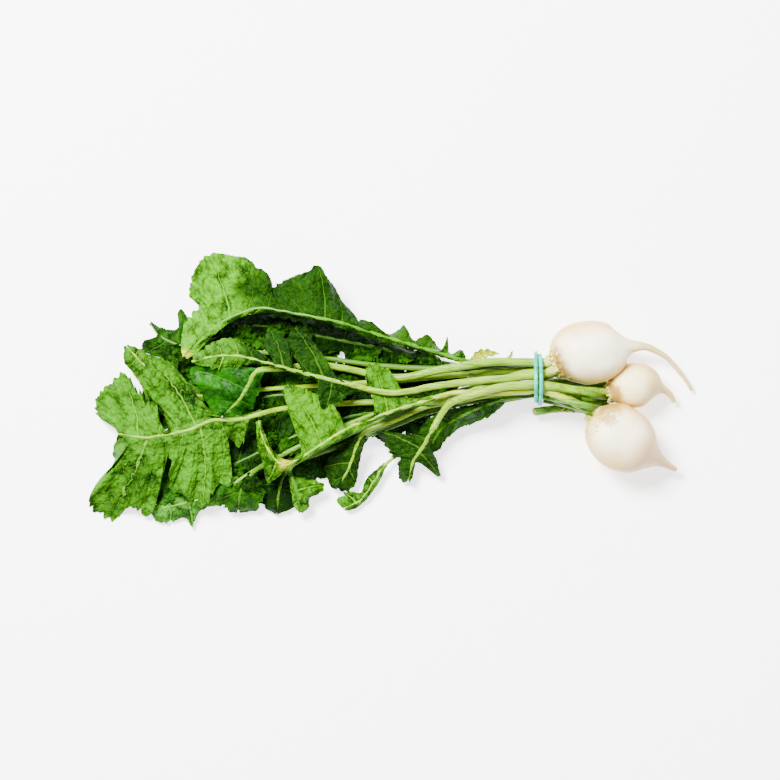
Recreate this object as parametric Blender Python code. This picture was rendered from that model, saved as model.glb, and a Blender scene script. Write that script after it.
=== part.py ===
"""Bunch of three white turnips with their leaves, tied with a rubber band and lying on its side.

+X runs towards the roots, +Y across the bunch, +Z up. The bunch lies on z = 0.
Lengths in this file are millimetres; MM turns them into Blender's metres.
"""
import math
from dataclasses import dataclass

import bmesh
import bpy
import numpy as np
from mathutils import Vector

MM = 0.001

# Middle of the bunch's box in plan, which becomes the origin
BOX_MIDDLE = (0.21, -0.43)

# The tie
BAND_X = 109.0
BAND_STRAND_RADIUS = 1.45
BAND_SPREAD = 2.0
BAND_LIFT = 3.5
BAND_CLEARANCE = 0.5
BAND_STEPS = 44
BAND_SIDES = 6
HULL_STEPS = 720
TIED_LENGTH = 10.0

# Leaves
BLADE_THICKNESS = 0.8
TOOTH = 1.6
GAP = 0.6
STEM_STEP = 2.5
STEM_TOLERANCE = 0.3
STEM_TAPER = 0.72
TAPER_START = 50.0
MIDRIB_END_RADIUS = 0.9
BLADE_OVERLAP = 1.2
TOOTH_WIDTH = 12.0
SHOULDER = 1.05
FIRST_RIB = 0.004
# Directions of a stem's upper points, for each number of points across a leaf
STEM_ANGLES = {5: (10, 45, 90, 135, 170), 7: (8, 30, 60, 90, 120, 150, 172)}
# Shortest steps between ribs and longest without a tooth between, as shares of the midrib
RIB_SPACING = 0.019
TOOTH_SPACING = 0.034
COARSE_RIB_SPACING = 0.045
# Waves of the blade along its midrib: radians per rib, shift between the sides and the width
# at which they are full
WAVE_PER_RIB = 0.9
WAVE_SHIFT = 2.1
WAVE_WIDTH = 25.0

# How leaves lie: the stems rise towards the blade over LIFT_RUN and hang like a slack string
LIFT_RUN = 120.0
SAG_PER_STEP = 0.012
SETTLING_ROUNDS = 400
BLADE_ROUNDS = 14
BLADE_SPREAD_ROUNDS = 10
SAMPLE_STEP = 1.2
# Points looked at round a stem's middle, as shares of its radius
STEM_SAMPLES = (-0.7, 0.0, 0.7)
STEM_PRINT = (-1.0, -0.75, -0.5, -0.25, 0.0, 0.25, 0.5, 0.75, 1.0)
# Underside of the bundle: raised at the tie and again at the crowns
TIE_HEIGHT = 7.2
TIE_RISE = (35.0, 100.0)
CROWN_HEIGHT = 5.0
CROWN_RISE = (115.0, 155.0)

# Roots
ROOT_SIDES = 18
SPINE_STEP = 2.0
PROFILE_STEP = 0.5
SPINE_REACH = 4.0
CURVE_PARTS = 16

# Height map of the pile that the next leaf is laid on
CELL = 1.5
MAP_LOW = (-240.0, -125.0)
MAP_CELLS = (240, 168)


@dataclass(frozen=True)
class Root:
    """A swollen root with a bent tail.

    spine is its middle line from the crown to the tail's tip. Each profile point is
    (distance from the crown, radius). lumps is the height of its lumps as a share of the radius.
    """

    name: str
    spine: tuple
    profile: tuple
    lumps: float


@dataclass(frozen=True)
class Leaf:
    """A leaf from its crown to its tip, seen from above.

    route is the line of stem and midrib beyond the tie. Each margin point is
    (share of the midrib where its rib starts, x, y). lift gives the least height of the midrib
    at the blade's start, middle and tip. slopes give each side's rise per millimetre of width
    and wave the height of its waves. A fine leaf has close ribs. across is the number of points
    in a cross-section.
    """

    name: str
    root: int
    slot: float
    radius: float
    route: tuple
    left: tuple = ()
    right: tuple = ()
    lift: tuple = (0.0, 0.0, 0.0)
    slopes: tuple = (-0.1, -0.1)
    wave: float = 1.5
    fine: bool = False
    across: int = 5


ROOTS = (
    Root("root_1",
         ((121.6, 19.2, 24.0), (133.3, 24.6, 23.8), (145.1, 29.2, 23.4), (161.8, 32.8, 23.2),
          (178.4, 33.8, 22.0), (189.0, 33.2, 19.5), (197.6, 30.2, 16.5), (206.2, 25.0, 13.0),
          (214.4, 16.2, 9.5), (220.6, 8.2, 6.5), (225.2, 0.6, 4.2)),
         ((0.0, 6.0), (0.5, 10.2), (3.0, 13.8), (8.5, 18.9), (16.5, 22.8), (25.0, 23.8), (34.0, 22.2),
          (42.0, 17.0), (49.0, 10.4), (54.0, 5.9), (59.0, 3.6), (68.0, 2.3), (85.0, 1.9), (108.0, 1.3)),
         0.012),
    Root("root_2",
         ((162.6, -1.5, 16.3), (172.2, 2.1, 16.1), (182.8, 4.3, 15.8), (193.0, 4.1, 15.3),
          (201.0, 1.9, 14.0), (205.4, 0.0, 12.0), (209.2, -3.4, 9.8), (211.8, -8.0, 7.4)),
         ((0.0, 3.6), (0.5, 6.4), (3.0, 9.7), (8.5, 13.8), (15.5, 16.0), (22.0, 16.2), (29.0, 14.6),
          (35.0, 10.6), (39.5, 5.8), (43.0, 3.1), (48.0, 2.3), (57.5, 1.6)),
         0.015),
    Root("root_3",
         ((152.6, -17.3, 23.6), (161.8, -27.1, 23.6), (171.4, -36.3, 23.4), (185.8, -45.7, 22.0),
          (199.3, -52.2, 18.0), (206.6, -55.6, 14.5), (213.0, -59.0, 10.5)),
         ((0.0, 4.4), (0.5, 8.2), (3.2, 13.4), (9.0, 18.9), (17.0, 22.9), (26.0, 23.9), (35.0, 22.9),
          (44.0, 18.9), (51.0, 12.6), (57.0, 6.6), (62.5, 3.6), (72.0, 1.6)),
         0.02),
)

# Crown of each root: where the leaf stems end in plan, their heading across the crown and the
# slot at its middle
CROWNS = {
    1: ((120.8, 18.8), (-0.40, 0.86), 16.5),
    2: ((160.0, -1.3), (0.0, 1.4), 4.0),
    3: ((151.0, -13.3), (0.50, 0.72), 1.0),
}

# From the lowest in the pile to the highest
LEAVES = (
    Leaf("torn_stem", 3, -13.6, 3.0, ((147.5, -13.4), (128.0, -12.8), (107.5, -15.4))),
    Leaf("leaf_under_top", 1, 19.5, 2.5,
         ((81, 19), (51, 19), (21, 25), (-9, 32), (-39, 38), (-69, 44), (-98, 49), (-122, 45), (-147, 33)),
         ((0, 34, 19), (.06, 24, 8), (.11, 14, 17), (.2, -4, 6), (.26, -12, 20), (.36, -34, 14),
          (.42, -38, 30), (.5, -60, 24), (.58, -68, 32), (.66, -86, 24), (.74, -98, 30),
          (.82, -112, 20), (.9, -130, 26), (1, -147, 32)),
         ((0, 34, 25), (.06, 27, 34), (.12, 12, 29), (.24, -9, 40), (.36, -30, 50), (.48, -53, 53),
          (.58, -71, 56), (.7, -98, 60), (.8, -116, 56), (.9, -134, 48), (1, -148, 34)),
         lift=(5, 6, 2), slopes=(-0.3, -0.3)),
    Leaf("leaf_under_middle", 1, 13.3, 2.5,
         ((81, 11), (43, 5), (6, 1), (-32, -1), (-69, -2), (-98, -5), (-130, -16)),
         ((0, -16, -4), (.12, -38, -22), (.26, -50, -10), (.4, -74, -32), (.54, -82, -14),
          (.7, -108, -36), (.84, -116, -22), (1, -130, -18)),
         ((0, -16, 3), (.14, -40, 22), (.28, -52, 8), (.42, -78, 30), (.56, -88, 10),
          (.72, -114, 22), (.86, -122, 0), (1, -131, -14)),
         lift=(5, 5, 1), slopes=(-0.25, -0.25)),
    Leaf("leaf_under_low", 3, 1.0, 2.5,
         ((81, -1), (51, -7), (21, -12), (-9, -15), (-39, -21), (-69, -32), (-98, -45), (-122, -56),
          (-148, -64)),
         ((0, 48, -9), (.05, 42, -22), (.1, 30, -20), (.15, 22, -36), (.22, 10, -30), (.3, -2, -40),
          (.36, -18, -36), (.42, -30, -54), (.48, -44, -50), (.54, -54, -66), (.6, -68, -60),
          (.68, -82, -72), (.76, -100, -66), (.84, -116, -80), (.92, -134, -74), (1, -148, -66)),
         ((0, 48, -3), (.08, 36, 2), (.16, 22, -5), (.24, 8, 3), (.32, -8, -6), (.4, -24, 0),
          (.48, -40, -12), (.56, -54, -4), (.64, -70, -16), (.72, -86, -18), (.78, -98, -36),
          (.84, -112, -30), (.9, -126, -48), (.96, -140, -50), (1, -148, -62)),
         lift=(5, 5, 1), slopes=(-0.3, -0.3)),
    Leaf("leaf_bottom_edge", 2, 2.4, 2.3,
         ((81, 1), (36, -9), (-9, -22), (-47, -38), (-73, -53), (-84, -70), (-87, -92)),
         ((0, -80, -61), (.2, -72, -65), (.4, -69, -76), (.6, -72, -84), (.75, -78, -89), (1, -87, -93)),
         ((0, -83, -59), (.2, -95, -65), (.4, -98, -74), (.6, -96, -82), (.8, -95, -88), (1, -88, -93)),
         lift=(7, 7, 1), slopes=(-0.3, -0.3)),
    Leaf("leaf_far_top", 1, 21.4, 2.3,
         ((81, 20), (36, 17), (-9, 19), (-54, 25), (-99, 29), (-137, 31), (-159, 34), (-174, 41),
          (-182, 51)),
         ((0, -132, 28), (.2, -141, 19), (.4, -155, 19), (.55, -170, 23), (.66, -183, 28),
          (.74, -188, 34), (.8, -185, 39), (.88, -174, 36), (.94, -174, 42), (1, -183, 51)),
         ((0, -132, 34), (.2, -141, 40), (.34, -152, 52), (.44, -158, 61), (.5, -162, 58),
          (.6, -161, 49), (.75, -165, 46), (.88, -174, 48), (1, -182, 52)),
         lift=(6, 8, 3), slopes=(-0.25, -0.25), wave=2.0),
    Leaf("leaf_silver", 2, 4.8, 2.5,
         ((81, 5), (36, -4), (-9, -16), (-54, -34), (-92, -53), (-120, -70), (-141, -80),
          (-164, -86), (-182, -89)),
         ((0, -114, -70), (.16, -120, -83), (.3, -128, -86), (.42, -138, -87), (.52, -147, -94),
          (.6, -151, -103), (.68, -156, -96), (.8, -167, -99), (.9, -177, -98), (1, -183, -91)),
         ((0, -116, -64), (.2, -128, -65), (.4, -141, -70), (.6, -156, -76), (.8, -170, -80),
          (1, -182, -88)),
         lift=(6, 8, 1), slopes=(-0.3, -0.1)),
    Leaf("leaf_lower_mid", 3, -2.0, 2.3,
         ((81, -4), (36, -13), (-2, -27), (-39, -41), (-69, -51), (-96, -56), (-107, -64),
          (-114, -76), (-116, -89)),
         ((0, -102, -62), (.2, -98, -70), (.4, -95, -77), (.6, -99, -85), (.8, -102, -91),
          (1, -115, -92)),
         ((0, -108, -61), (.2, -117, -70), (.4, -125, -76), (.6, -129, -83), (.8, -123, -90),
          (1, -117, -92)),
         lift=(8, 11, 2), slopes=(-0.25, -0.25), wave=2.0),
    Leaf("leaf_small_tip", 3, -4.2, 1.8,
         ((96, -5), (81, -8), (58, -15), (34, -29), (12, -43), (-5, -55), (-14, -68), (-24, -82),
          (-36, -88)),
         ((0, -6, -54), (.25, -14, -60), (.4, -20, -66), (.55, -24, -76), (.75, -34, -75),
          (.9, -41, -82), (1, -38, -88)),
         ((0, -4, -56), (.3, -10, -68), (.6, -21, -83), (.8, -29, -89), (1, -36, -90)),
         lift=(5, 4, 1), slopes=(-0.1, -0.1)),
    Leaf("leaf_pale_low", 1, 10.2, 2.3,
         ((81, 7), (36, -4), (6, -16), (-32, -32), (-66, -50), (-77, -59), (-73, -71), (-69, -91)),
         ((0, -73, -64), (.2, -60, -67), (.36, -52, -70), (.5, -53, -76), (.66, -62, -81),
          (.82, -63, -88), (1, -68, -92)),
         ((0, -78, -65), (.2, -77, -71), (.4, -76, -77), (.6, -75, -83), (.8, -74, -88), (1, -70, -92)),
         lift=(16, 14, 4), slopes=(-0.2, -0.2)),
    Leaf("leaf_right_edge", 3, -4.0, 2.0,
         ((96, -4), (81, -7), (62, -14), (41, -25), (33, -34), (27, -46)),
         ((0, 84, -10), (.15, 72, -19), (.3, 61, -25), (.44, 48, -30), (.58, 40, -37), (.72, 36, -42),
          (.86, 31, -46), (1, 26, -46)),
         ((0, 84, -5), (.2, 69, -8), (.4, 48, -12), (.6, 31, -17), (.8, 22, -30), (1, 24, -43)),
         lift=(9, 6, 1), slopes=(-0.55, -0.5)),
    Leaf("leaf_far_left", 1, 16.4, 2.3,
         ((81, 15), (36, 11), (-9, 7), (-54, 4), (-99, 1), (-137, -4), (-165, 2), (-184, 17), (-200, 34)),
         ((0, -140, -7), (.15, -148, -18), (.3, -160, -30), (.42, -170, -18), (.52, -180, -14),
          (.6, -186, -2), (.7, -191, 8), (.8, -197, 16), (.9, -202, 22), (1, -202, 34)),
         ((0, -140, -1), (.2, -153, 7), (.4, -167, 16), (.55, -174, 22), (.7, -182, 26),
          (.84, -189, 31), (1, -199, 35)),
         lift=(10, 14, 12), slopes=(0.3, 0.3)),
    Leaf("leaf_hanging", 3, 1.4, 2.3,
         ((81, -1), (51, -7), (25, -12), (2, -22), (-19, -30), (-26, -39), (-32, -56), (-41, -73)),
         ((0, -19, -34), (.2, -23, -46), (.4, -26, -59), (.6, -27, -68), (.8, -32, -75), (1, -39, -76)),
         ((0, -24, -31), (.15, -33, -38), (.3, -42, -44), (.45, -48, -53), (.6, -50, -61),
          (.75, -47, -70), (.88, -45, -73), (1, -42, -74)),
         lift=(16, 12, 3), slopes=(-0.2, -0.2)),
    Leaf("leaf_top", 1, 22.4, 2.6,
         ((81, 22), (58, 22), (47, 25), (6, 37), (-17, 44), (-39, 51), (-68, 57), (-84, 60), (-99, 62),
          (-114, 58), (-130, 50), (-141, 40), (-156, 26)),
         ((0, 55, 20), (.3, -9, 38), (.5, -56, 52), (.6, -81, 58), (.68, -101, 58), (.76, -116, 54),
          (.84, -128, 46), (.92, -138, 37), (.97, -146, 28), (1, -154, 24)),
         ((0, 55, 26), (.03, 51, 31), (.06, 43, 28), (.08, 41, 40), (.1, 36, 31), (.13, 27, 43),
          (.16, 16, 38), (.2, 9, 48), (.24, -3, 43), (.28, -18, 53), (.33, -32, 52), (.36, -27, 56),
          (.39, -37, 66), (.42, -42, 76), (.45, -50, 88), (.48, -55, 95), (.51, -69, 87),
          (.54, -86, 81), (.57, -93, 73), (.6, -84, 63), (.64, -90, 73), (.67, -90, 82),
          (.7, -94, 90), (.73, -102, 95), (.76, -111, 102), (.8, -138, 102), (.83, -149, 88),
          (.86, -152, 70), (.885, -141, 68), (.91, -150, 60), (.94, -157, 50), (.97, -159, 34),
          (1, -157, 25)),
         lift=(14, 38, 24), slopes=(-0.45, -0.15), wave=2.5, fine=True, across=7),
    Leaf("leaf_glossy", 1, 21.5, 3.1,
         ((81, 22), (66, 21), (36, 16), (3, 10), (-36, 17), (-58, 20), (-81, 17), (-101, 15),
          (-108, 4), (-116, -8), (-128, -18)),
         ((0, -99, 17), (.15, -116, 19), (.3, -134, 22), (.42, -150, 17), (.54, -148, 7),
          (.66, -142, -1), (.78, -139, -10), (.9, -134, -18), (1, -129, -20)),
         ((0, -96, 14), (.2, -99, 8), (.35, -98, 0), (.5, -102, -8), (.65, -105, -14),
          (.8, -114, -20), (.92, -122, -20), (1, -127, -20)),
         lift=(24, 24, 14), slopes=(0.15, -0.2), wave=2.0, fine=True),
    Leaf("leaf_wide", 1, 13.6, 2.7,
         ((81, 8), (58, -1), (43, -7), (6, -8), (-32, -9), (-81, -13), (-114, -21), (-135, -22),
          (-152, -29), (-172, -33), (-186, -35), (-206, -32)),
         ((0, -98, -20), (.08, -107, -25), (.14, -114, -41), (.18, -123, -37), (.22, -126, -43),
          (.27, -122, -54), (.32, -121, -70), (.37, -133, -74), (.42, -141, -84), (.47, -155, -82),
          (.52, -168, -67), (.57, -166, -56), (.62, -170, -52), (.67, -174, -70), (.71, -182, -93),
          (.75, -198, -88), (.79, -211, -97), (.83, -227, -85), (.87, -222, -68), (.91, -210, -55),
          (.95, -210, -43), (1, -207, -34)),
         ((0, -98, -14), (.1, -114, -18), (.2, -135, -19), (.27, -144, -10), (.33, -155, 6),
          (.39, -165, 20), (.45, -182, 26), (.5, -187, 14), (.55, -184, 0), (.6, -174, -13),
          (.65, -168, -28), (.7, -174, -25), (.75, -178, -9), (.8, -191, 2), (.85, -201, 15),
          (.89, -213, 8), (.92, -224, -6), (.955, -221, -20), (.98, -210, -26), (1, -207, -31)),
         lift=(20, 27, 9), slopes=(-0.25, -0.12), wave=3.0, fine=True, across=7),
    Leaf("leaf_centre", 3, -0.3, 2.5,
         ((81, -1), (60, -1), (43, -2), (16, -10), (6, -13), (-19, -22), (-34, -28), (-53, -40),
          (-69, -50), (-81, -55), (-90, -48), (-97, -35), (-100, -22)),
         ((0, 36, -6), (.2, 4, -16), (.4, -30, -31), (.6, -66, -51), (.68, -78, -58), (.74, -87, -65),
          (.8, -94, -68), (.86, -97, -56), (.92, -101, -43), (1, -102, -23)),
         ((0, 36, -2), (.06, 21, -6), (.1, 9, -8), (.14, 6, 2), (.18, 1, 10), (.22, -6, 17),
          (.26, -18, 18), (.3, -19, 5), (.34, -10, -14), (.38, -20, -20), (.42, -38, -28),
          (.46, -41, -15), (.5, -51, -6), (.54, -67, 2), (.58, -81, 4), (.61, -79, -13),
          (.64, -73, -28), (.67, -69, -46), (.72, -81, -51), (.8, -90, -44), (.9, -95, -34),
          (1, -99, -22)),
         lift=(22, 32, 28), slopes=(-0.5, 0.0), wave=2.0, fine=True, across=7),
    Leaf("leaf_lobed", 1, 11.0, 2.9,
         ((81, 9), (66, 8), (28, 3), (14, 0), (-6, -1), (-36, 6), (-69, 14), (-94, 21), (-114, 26),
          (-133, 26), (-150, 22)),
         ((0, -30, 2), (.06, -36, -5), (.12, -50, -14), (.18, -56, -4), (.24, -57, 7), (.34, -71, 12),
          (.5, -93, 19), (.6, -107, 20), (.7, -117, 18), (.8, -130, 16), (.9, -142, 18), (1, -150, 21)),
         ((0, -30, 8), (.05, -44, 10), (.09, -47, 19), (.13, -57, 34), (.17, -71, 47), (.21, -78, 38),
          (.26, -75, 28), (.31, -68, 16), (.35, -76, 22), (.39, -78, 38), (.43, -92, 46),
          (.46, -97, 35), (.5, -89, 23), (.55, -99, 29), (.62, -110, 35), (.69, -117, 40),
          (.76, -126, 40), (.85, -137, 34), (.93, -147, 27), (1, -150, 22)),
         lift=(24, 30, 18), slopes=(-0.1, -0.2), wave=2.0, fine=True),
    Leaf("leaf_curled", 2, 4.3, 3.2,
         ((81, 3), (62, -2), (45, -8), (36, -18), (24, -40), (16, -52), (12, -67)),
         ((0, 33, -29), (.2, 28, -40), (.35, 34, -53), (.48, 36, -66), (.6, 27, -59), (.75, 18, -53),
          (.9, 16, -62), (1, 13, -70)),
         ((0, 27, -28), (.15, 15, -32), (.3, 2, -31), (.42, -12, -30), (.5, -6, -41), (.6, 1, -50),
          (.7, 7, -46), (.8, 3, -56), (.9, 6, -68), (1, 10, -69)),
         lift=(16, 12, 4), slopes=(-0.2, -0.2), wave=2.0, fine=True),
)

# Colour and roughness of each piece's material
ROOT_COLOURS = {"root_1": (0.90, 0.86, 0.78), "root_2": (0.86, 0.78, 0.62), "root_3": (0.90, 0.84, 0.74)}
LEAF_COLOURS = {
    "torn_stem": (0.55, 0.60, 0.28),
    "leaf_top": (0.25, 0.50, 0.10),
    "leaf_glossy": (0.03, 0.22, 0.02),
    "leaf_wide": (0.20, 0.42, 0.09),
    "leaf_centre": (0.30, 0.55, 0.08),
    "leaf_lobed": (0.16, 0.36, 0.06),
    "leaf_silver": (0.28, 0.52, 0.24),
    "leaf_pale_low": (0.26, 0.55, 0.10),
}
PLAIN_LEAF_COLOUR = (0.06, 0.24, 0.04)
BAND_COLOUR = (0.10, 0.68, 0.60)
ROOT_ROUGHNESS = 0.45
LEAF_ROUGHNESS = 0.5
BAND_ROUGHNESS = 0.35
LEAF_SHARP_ANGLE = 60
ROOT_SHARP_ANGLE = 50


def resample(points, step):
    """Return points about a step apart along a line, and their distances along it."""
    along = np.concatenate([[0], np.cumsum(np.linalg.norm(np.diff(points, axis=0), axis=1))])
    marks = np.linspace(0, along[-1], max(2, int(round(along[-1] / step)) + 1))
    return np.stack([np.interp(marks, along, column) for column in points.T], axis=1), marks


def smooth_path(points, step):
    """Return points about a step apart along a smooth curve through the given ones."""
    pts = np.array(points, float)
    ends = np.vstack([2 * pts[0] - pts[1], pts, 2 * pts[-1] - pts[-2]])
    dense = []
    for i in range(len(pts) - 1):
        p0, p1, p2, p3 = ends[i:i + 4]
        for t in np.linspace(0, 1, CURVE_PARTS, endpoint=False):
            dense.append(0.5 * (2 * p1 + (p2 - p0) * t + (2 * p0 - 5 * p1 + 4 * p2 - p3) * t * t
                                + (3 * p1 - p0 - 3 * p2 + p3) * t ** 3))
    return resample(np.array(dense + [pts[-1]]), step)


def needed_points(points, tolerance):
    """Return the indices of the points that a line through them needs to stay within tolerance."""
    first, last = points[0], points[-1]
    chord = last - first
    share = np.clip((points - first) @ chord / (chord @ chord), 0, 1)
    apart = np.linalg.norm(points - first - share[:, None] * chord, axis=1)
    worst = int(apart.argmax())
    if apart[worst] <= tolerance:
        return [0, len(points) - 1]
    before = needed_points(points[:worst + 1], tolerance)
    after = needed_points(points[worst:], tolerance)
    return before[:-1] + [worst + k for k in after]


def sideways(points):
    """Return the level directions square to a line at its points."""
    heading = np.gradient(points[:, :2], axis=0)
    heading /= np.linalg.norm(heading, axis=1)[:, None]
    return np.stack([-heading[:, 1], heading[:, 0]], axis=1)


def ease(value, low, high):
    """Return 0 below low, 1 above high and a smooth rise between."""
    t = np.clip((value - low) / (high - low), 0, 1)
    return t * t * (3 - 2 * t)


def ground(x):
    """Height of the bundle's underside: on the table out among the blades, raised at the tie."""
    return TIE_HEIGHT * ease(x, *TIE_RISE) + CROWN_HEIGHT * ease(x, *CROWN_RISE)


class Pile:
    """The leaves laid so far: the stems as points with a radius, the blades as a height map."""

    def __init__(self):
        self.blades = np.zeros(MAP_CELLS)
        self.everything = np.zeros(MAP_CELLS)
        self.stems = np.zeros((0, 4))
        self.tied = np.zeros(0, bool)

    @staticmethod
    def cells(x, y):
        """Return the map cells that hold the given points."""
        col = np.clip(((x - MAP_LOW[0]) / CELL).astype(int), 1, MAP_CELLS[0] - 2)
        row = np.clip(((y - MAP_LOW[1]) / CELL).astype(int), 1, MAP_CELLS[1] - 2)
        return col, row

    @staticmethod
    def height(layer, x, y):
        """Return the greatest height in a layer within one cell of each point."""
        col, row = Pile.cells(x, y)
        steps = [(i, j) for i in (-1, 0, 1) for j in (-1, 0, 1)]
        return np.max([layer[col + i, row + j] for i, j in steps], axis=0)

    def stem_floor(self, x, y, radius):
        """Return the least height of a stem's centre line over all that lies below it."""
        need = ground(x) + radius
        for across in STEM_SAMPLES:
            for along in STEM_SAMPLES:
                top = self.height(self.blades, x + along * radius, y + across * radius)
                need = np.maximum(need, np.where(top > 0, top + radius + GAP, 0))
        if len(self.stems):
            flat = np.hypot(x[:, None] - self.stems[:, 0], y[:, None] - self.stems[:, 1])
            reach = radius[:, None] + self.stems[:, 3] + GAP
            rest = self.stems[:, 2] + np.sqrt(np.maximum(reach ** 2 - flat ** 2, 0))
            need = np.maximum(need, np.where(flat < reach, rest, 0).max(axis=1))
        return need

    def add_stem(self, centres, radius, tied):
        """Record a stem and midrib, and whether the band goes round it."""
        self.tied = np.concatenate([self.tied, np.full(len(radius), tied)])
        self.stems = np.vstack([self.stems, np.column_stack([centres, radius])])
        for across in STEM_PRINT:
            edge = centres[:, :2] + sideways(centres) * (across * radius)[:, None]
            col, row = self.cells(edge[:, 0], edge[:, 1])
            np.maximum.at(self.everything, (col, row), centres[:, 2] + radius * math.sqrt(1 - across ** 2))

    def add_blade(self, x, y, top):
        """Record points on a blade's upper face."""
        col, row = self.cells(x, y)
        np.maximum.at(self.blades, (col, row), top)
        np.maximum.at(self.everything, (col, row), top)


@dataclass
class Line:
    """A leaf's stem and midrib as laid: points, distances along it, radii and the blade's start."""

    points: np.ndarray
    along: np.ndarray
    radius: np.ndarray
    start: float

    @property
    def blade(self):
        """Length of the midrib."""
        return max(self.along[-1] - self.start, 1e-6)

    def at(self, marks):
        """Return the centres, radii and sideways directions at the given distances."""
        table = np.column_stack([self.points, self.radius, sideways(self.points)])
        found = np.stack([np.interp(marks, self.along, column) for column in table.T], axis=1)
        aside = found[:, 4:] / np.linalg.norm(found[:, 4:], axis=1)[:, None]
        return found[:, :3], found[:, 3], aside


def lay_stem(leaf, pile):
    """Lay a leaf's stem and midrib on the pile and return them."""
    route = list(leaf.route)
    if leaf.left:
        crown, across, middle = CROWNS[leaf.root]
        off = leaf.slot - middle
        route = [(crown[0] + across[0] * off, crown[1] + across[1] * off),
                 (BAND_X + TIED_LENGTH / 2, leaf.slot), (BAND_X - TIED_LENGTH, leaf.slot)] + route
    path, along = smooth_path(route, STEM_STEP)
    x, y = path[:, 0], path[:, 1]
    line = Line(np.column_stack([path, np.zeros(len(x))]), along, np.full(len(x), leaf.radius), along[-1])
    if leaf.left:
        first = (np.array(leaf.left[0][1:]) + np.array(leaf.right[0][1:])) / 2
        line.start = along[np.argmin(np.linalg.norm(path - first, axis=1))]
        share = np.clip((along - line.start) / line.blade, 0, 1)
        stout = leaf.radius * (1 - (1 - STEM_TAPER) * ease(along, TAPER_START, line.start))
        line.radius = stout * (1 - share) + MIDRIB_END_RADIUS * share

    rise = ease(along, line.start - LIFT_RUN, line.start)
    share = np.clip((along - line.start) / line.blade, 0, 1)
    lift = np.where(along < line.start, leaf.lift[0] * rise, np.interp(share, (0, 0.5, 1), leaf.lift))
    need = np.maximum(pile.stem_floor(x, y, line.radius), lift)
    z = need.copy()
    for _ in range(SETTLING_ROUNDS):
        z[1:-1] = np.maximum(need[1:-1], (z[:-2] + z[2:]) / 2 - SAG_PER_STEP)
        z[0] = max(need[0], z[1])
    line.points[:, 2] = z
    pile.add_stem(line.points, line.radius, bool(leaf.left))
    return line


def rib_shares(leaf):
    """Return where a leaf's ribs start, as shares of its midrib."""
    shares = sorted({s[0] for s in leaf.left} | {s[0] for s in leaf.right})
    spacing = RIB_SPACING if leaf.fine else COARSE_RIB_SPACING
    kept = [shares[0]]
    for share in shares[1:]:
        if share - kept[-1] > spacing:
            kept.append(share)
    kept[-1] = 1.0
    if leaf.fine:
        between = [(a + b) / 2 for a, b in zip(kept, kept[1:]) if b - a > TOOTH_SPACING]
        kept = sorted(kept + between)
    return np.array(kept)


def margin_at(margin, shares):
    """Return a blade's margin at the given shares of its midrib."""
    table = np.array(margin, float)
    return np.stack([np.interp(shares, table[:, 0], table[:, k]) for k in (1, 2)], axis=1)


def stem_sections(leaf, line):
    """Return the plan, the half thickness and the middle height of a stem's cross-sections."""
    on_stem = line.along <= line.start + 1e-6
    marks = line.along[on_stem][needed_points(line.points[on_stem], STEM_TOLERANCE)]
    if leaf.left:
        marks = marks[:-1]
    centres, radius, aside = line.at(marks)
    angles = np.radians(STEM_ANGLES[leaf.across])
    plan = centres[:, None, :2] + aside[:, None] * (radius[:, None] * np.cos(angles))[:, :, None]
    half = radius[:, None] * np.sin(angles)
    return plan, half, np.repeat(centres[:, 2:], leaf.across, axis=1)


def blade_sections(leaf, line):
    """Return the plan, the half thickness and the middle height of a blade's cross-sections."""
    shares = FIRST_RIB + (1 - FIRST_RIB) * rib_shares(leaf)
    centres, radius, aside = line.at(line.start + line.blade * shares)
    sides = [(margin_at(leaf.left, shares), leaf.slopes[0]), (margin_at(leaf.right, shares), leaf.slopes[1])]
    if (aside * (sides[0][0] - centres[:, :2])).sum() < 0:
        sides.reverse()
    count, centre = leaf.across, leaf.across // 2
    plan = np.zeros((len(shares), count, 2))
    half = np.full((len(shares), count), BLADE_THICKNESS / 2)
    mid = np.zeros((len(shares), count))
    plan[:, centre] = centres[:, :2]
    half[:, centre] = radius
    mid[:, centre] = centres[:, 2]
    for side, columns in enumerate((range(centre - 1, -1, -1), range(centre + 1, count))):
        margin, slope = sides[side]
        for i in range(len(shares)):
            rib = margin[i] - centres[i, :2]
            reach = np.linalg.norm(rib)
            rib /= max(reach, 1e-6)
            tooth = (TOOTH if i % 2 else -TOOTH) * min(1, reach / TOOTH_WIDTH)
            reach = max(reach + tooth, radius[i] + BLADE_OVERLAP)
            shoulder = min(radius[i] * SHOULDER, 0.5 * reach)
            stops = np.concatenate([[shoulder], np.linspace(shoulder, reach, centre)[1:]])
            wave = leaf.wave * math.sin(WAVE_PER_RIB * i + WAVE_SHIFT * side) / WAVE_WIDTH
            for j, stop in zip(columns, stops):
                plan[i, j] = centres[i, :2] + rib * stop
                mid[i, j] = centres[i, 2] + (slope + wave) * (stop - shoulder)
    return plan, half, mid


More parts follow.
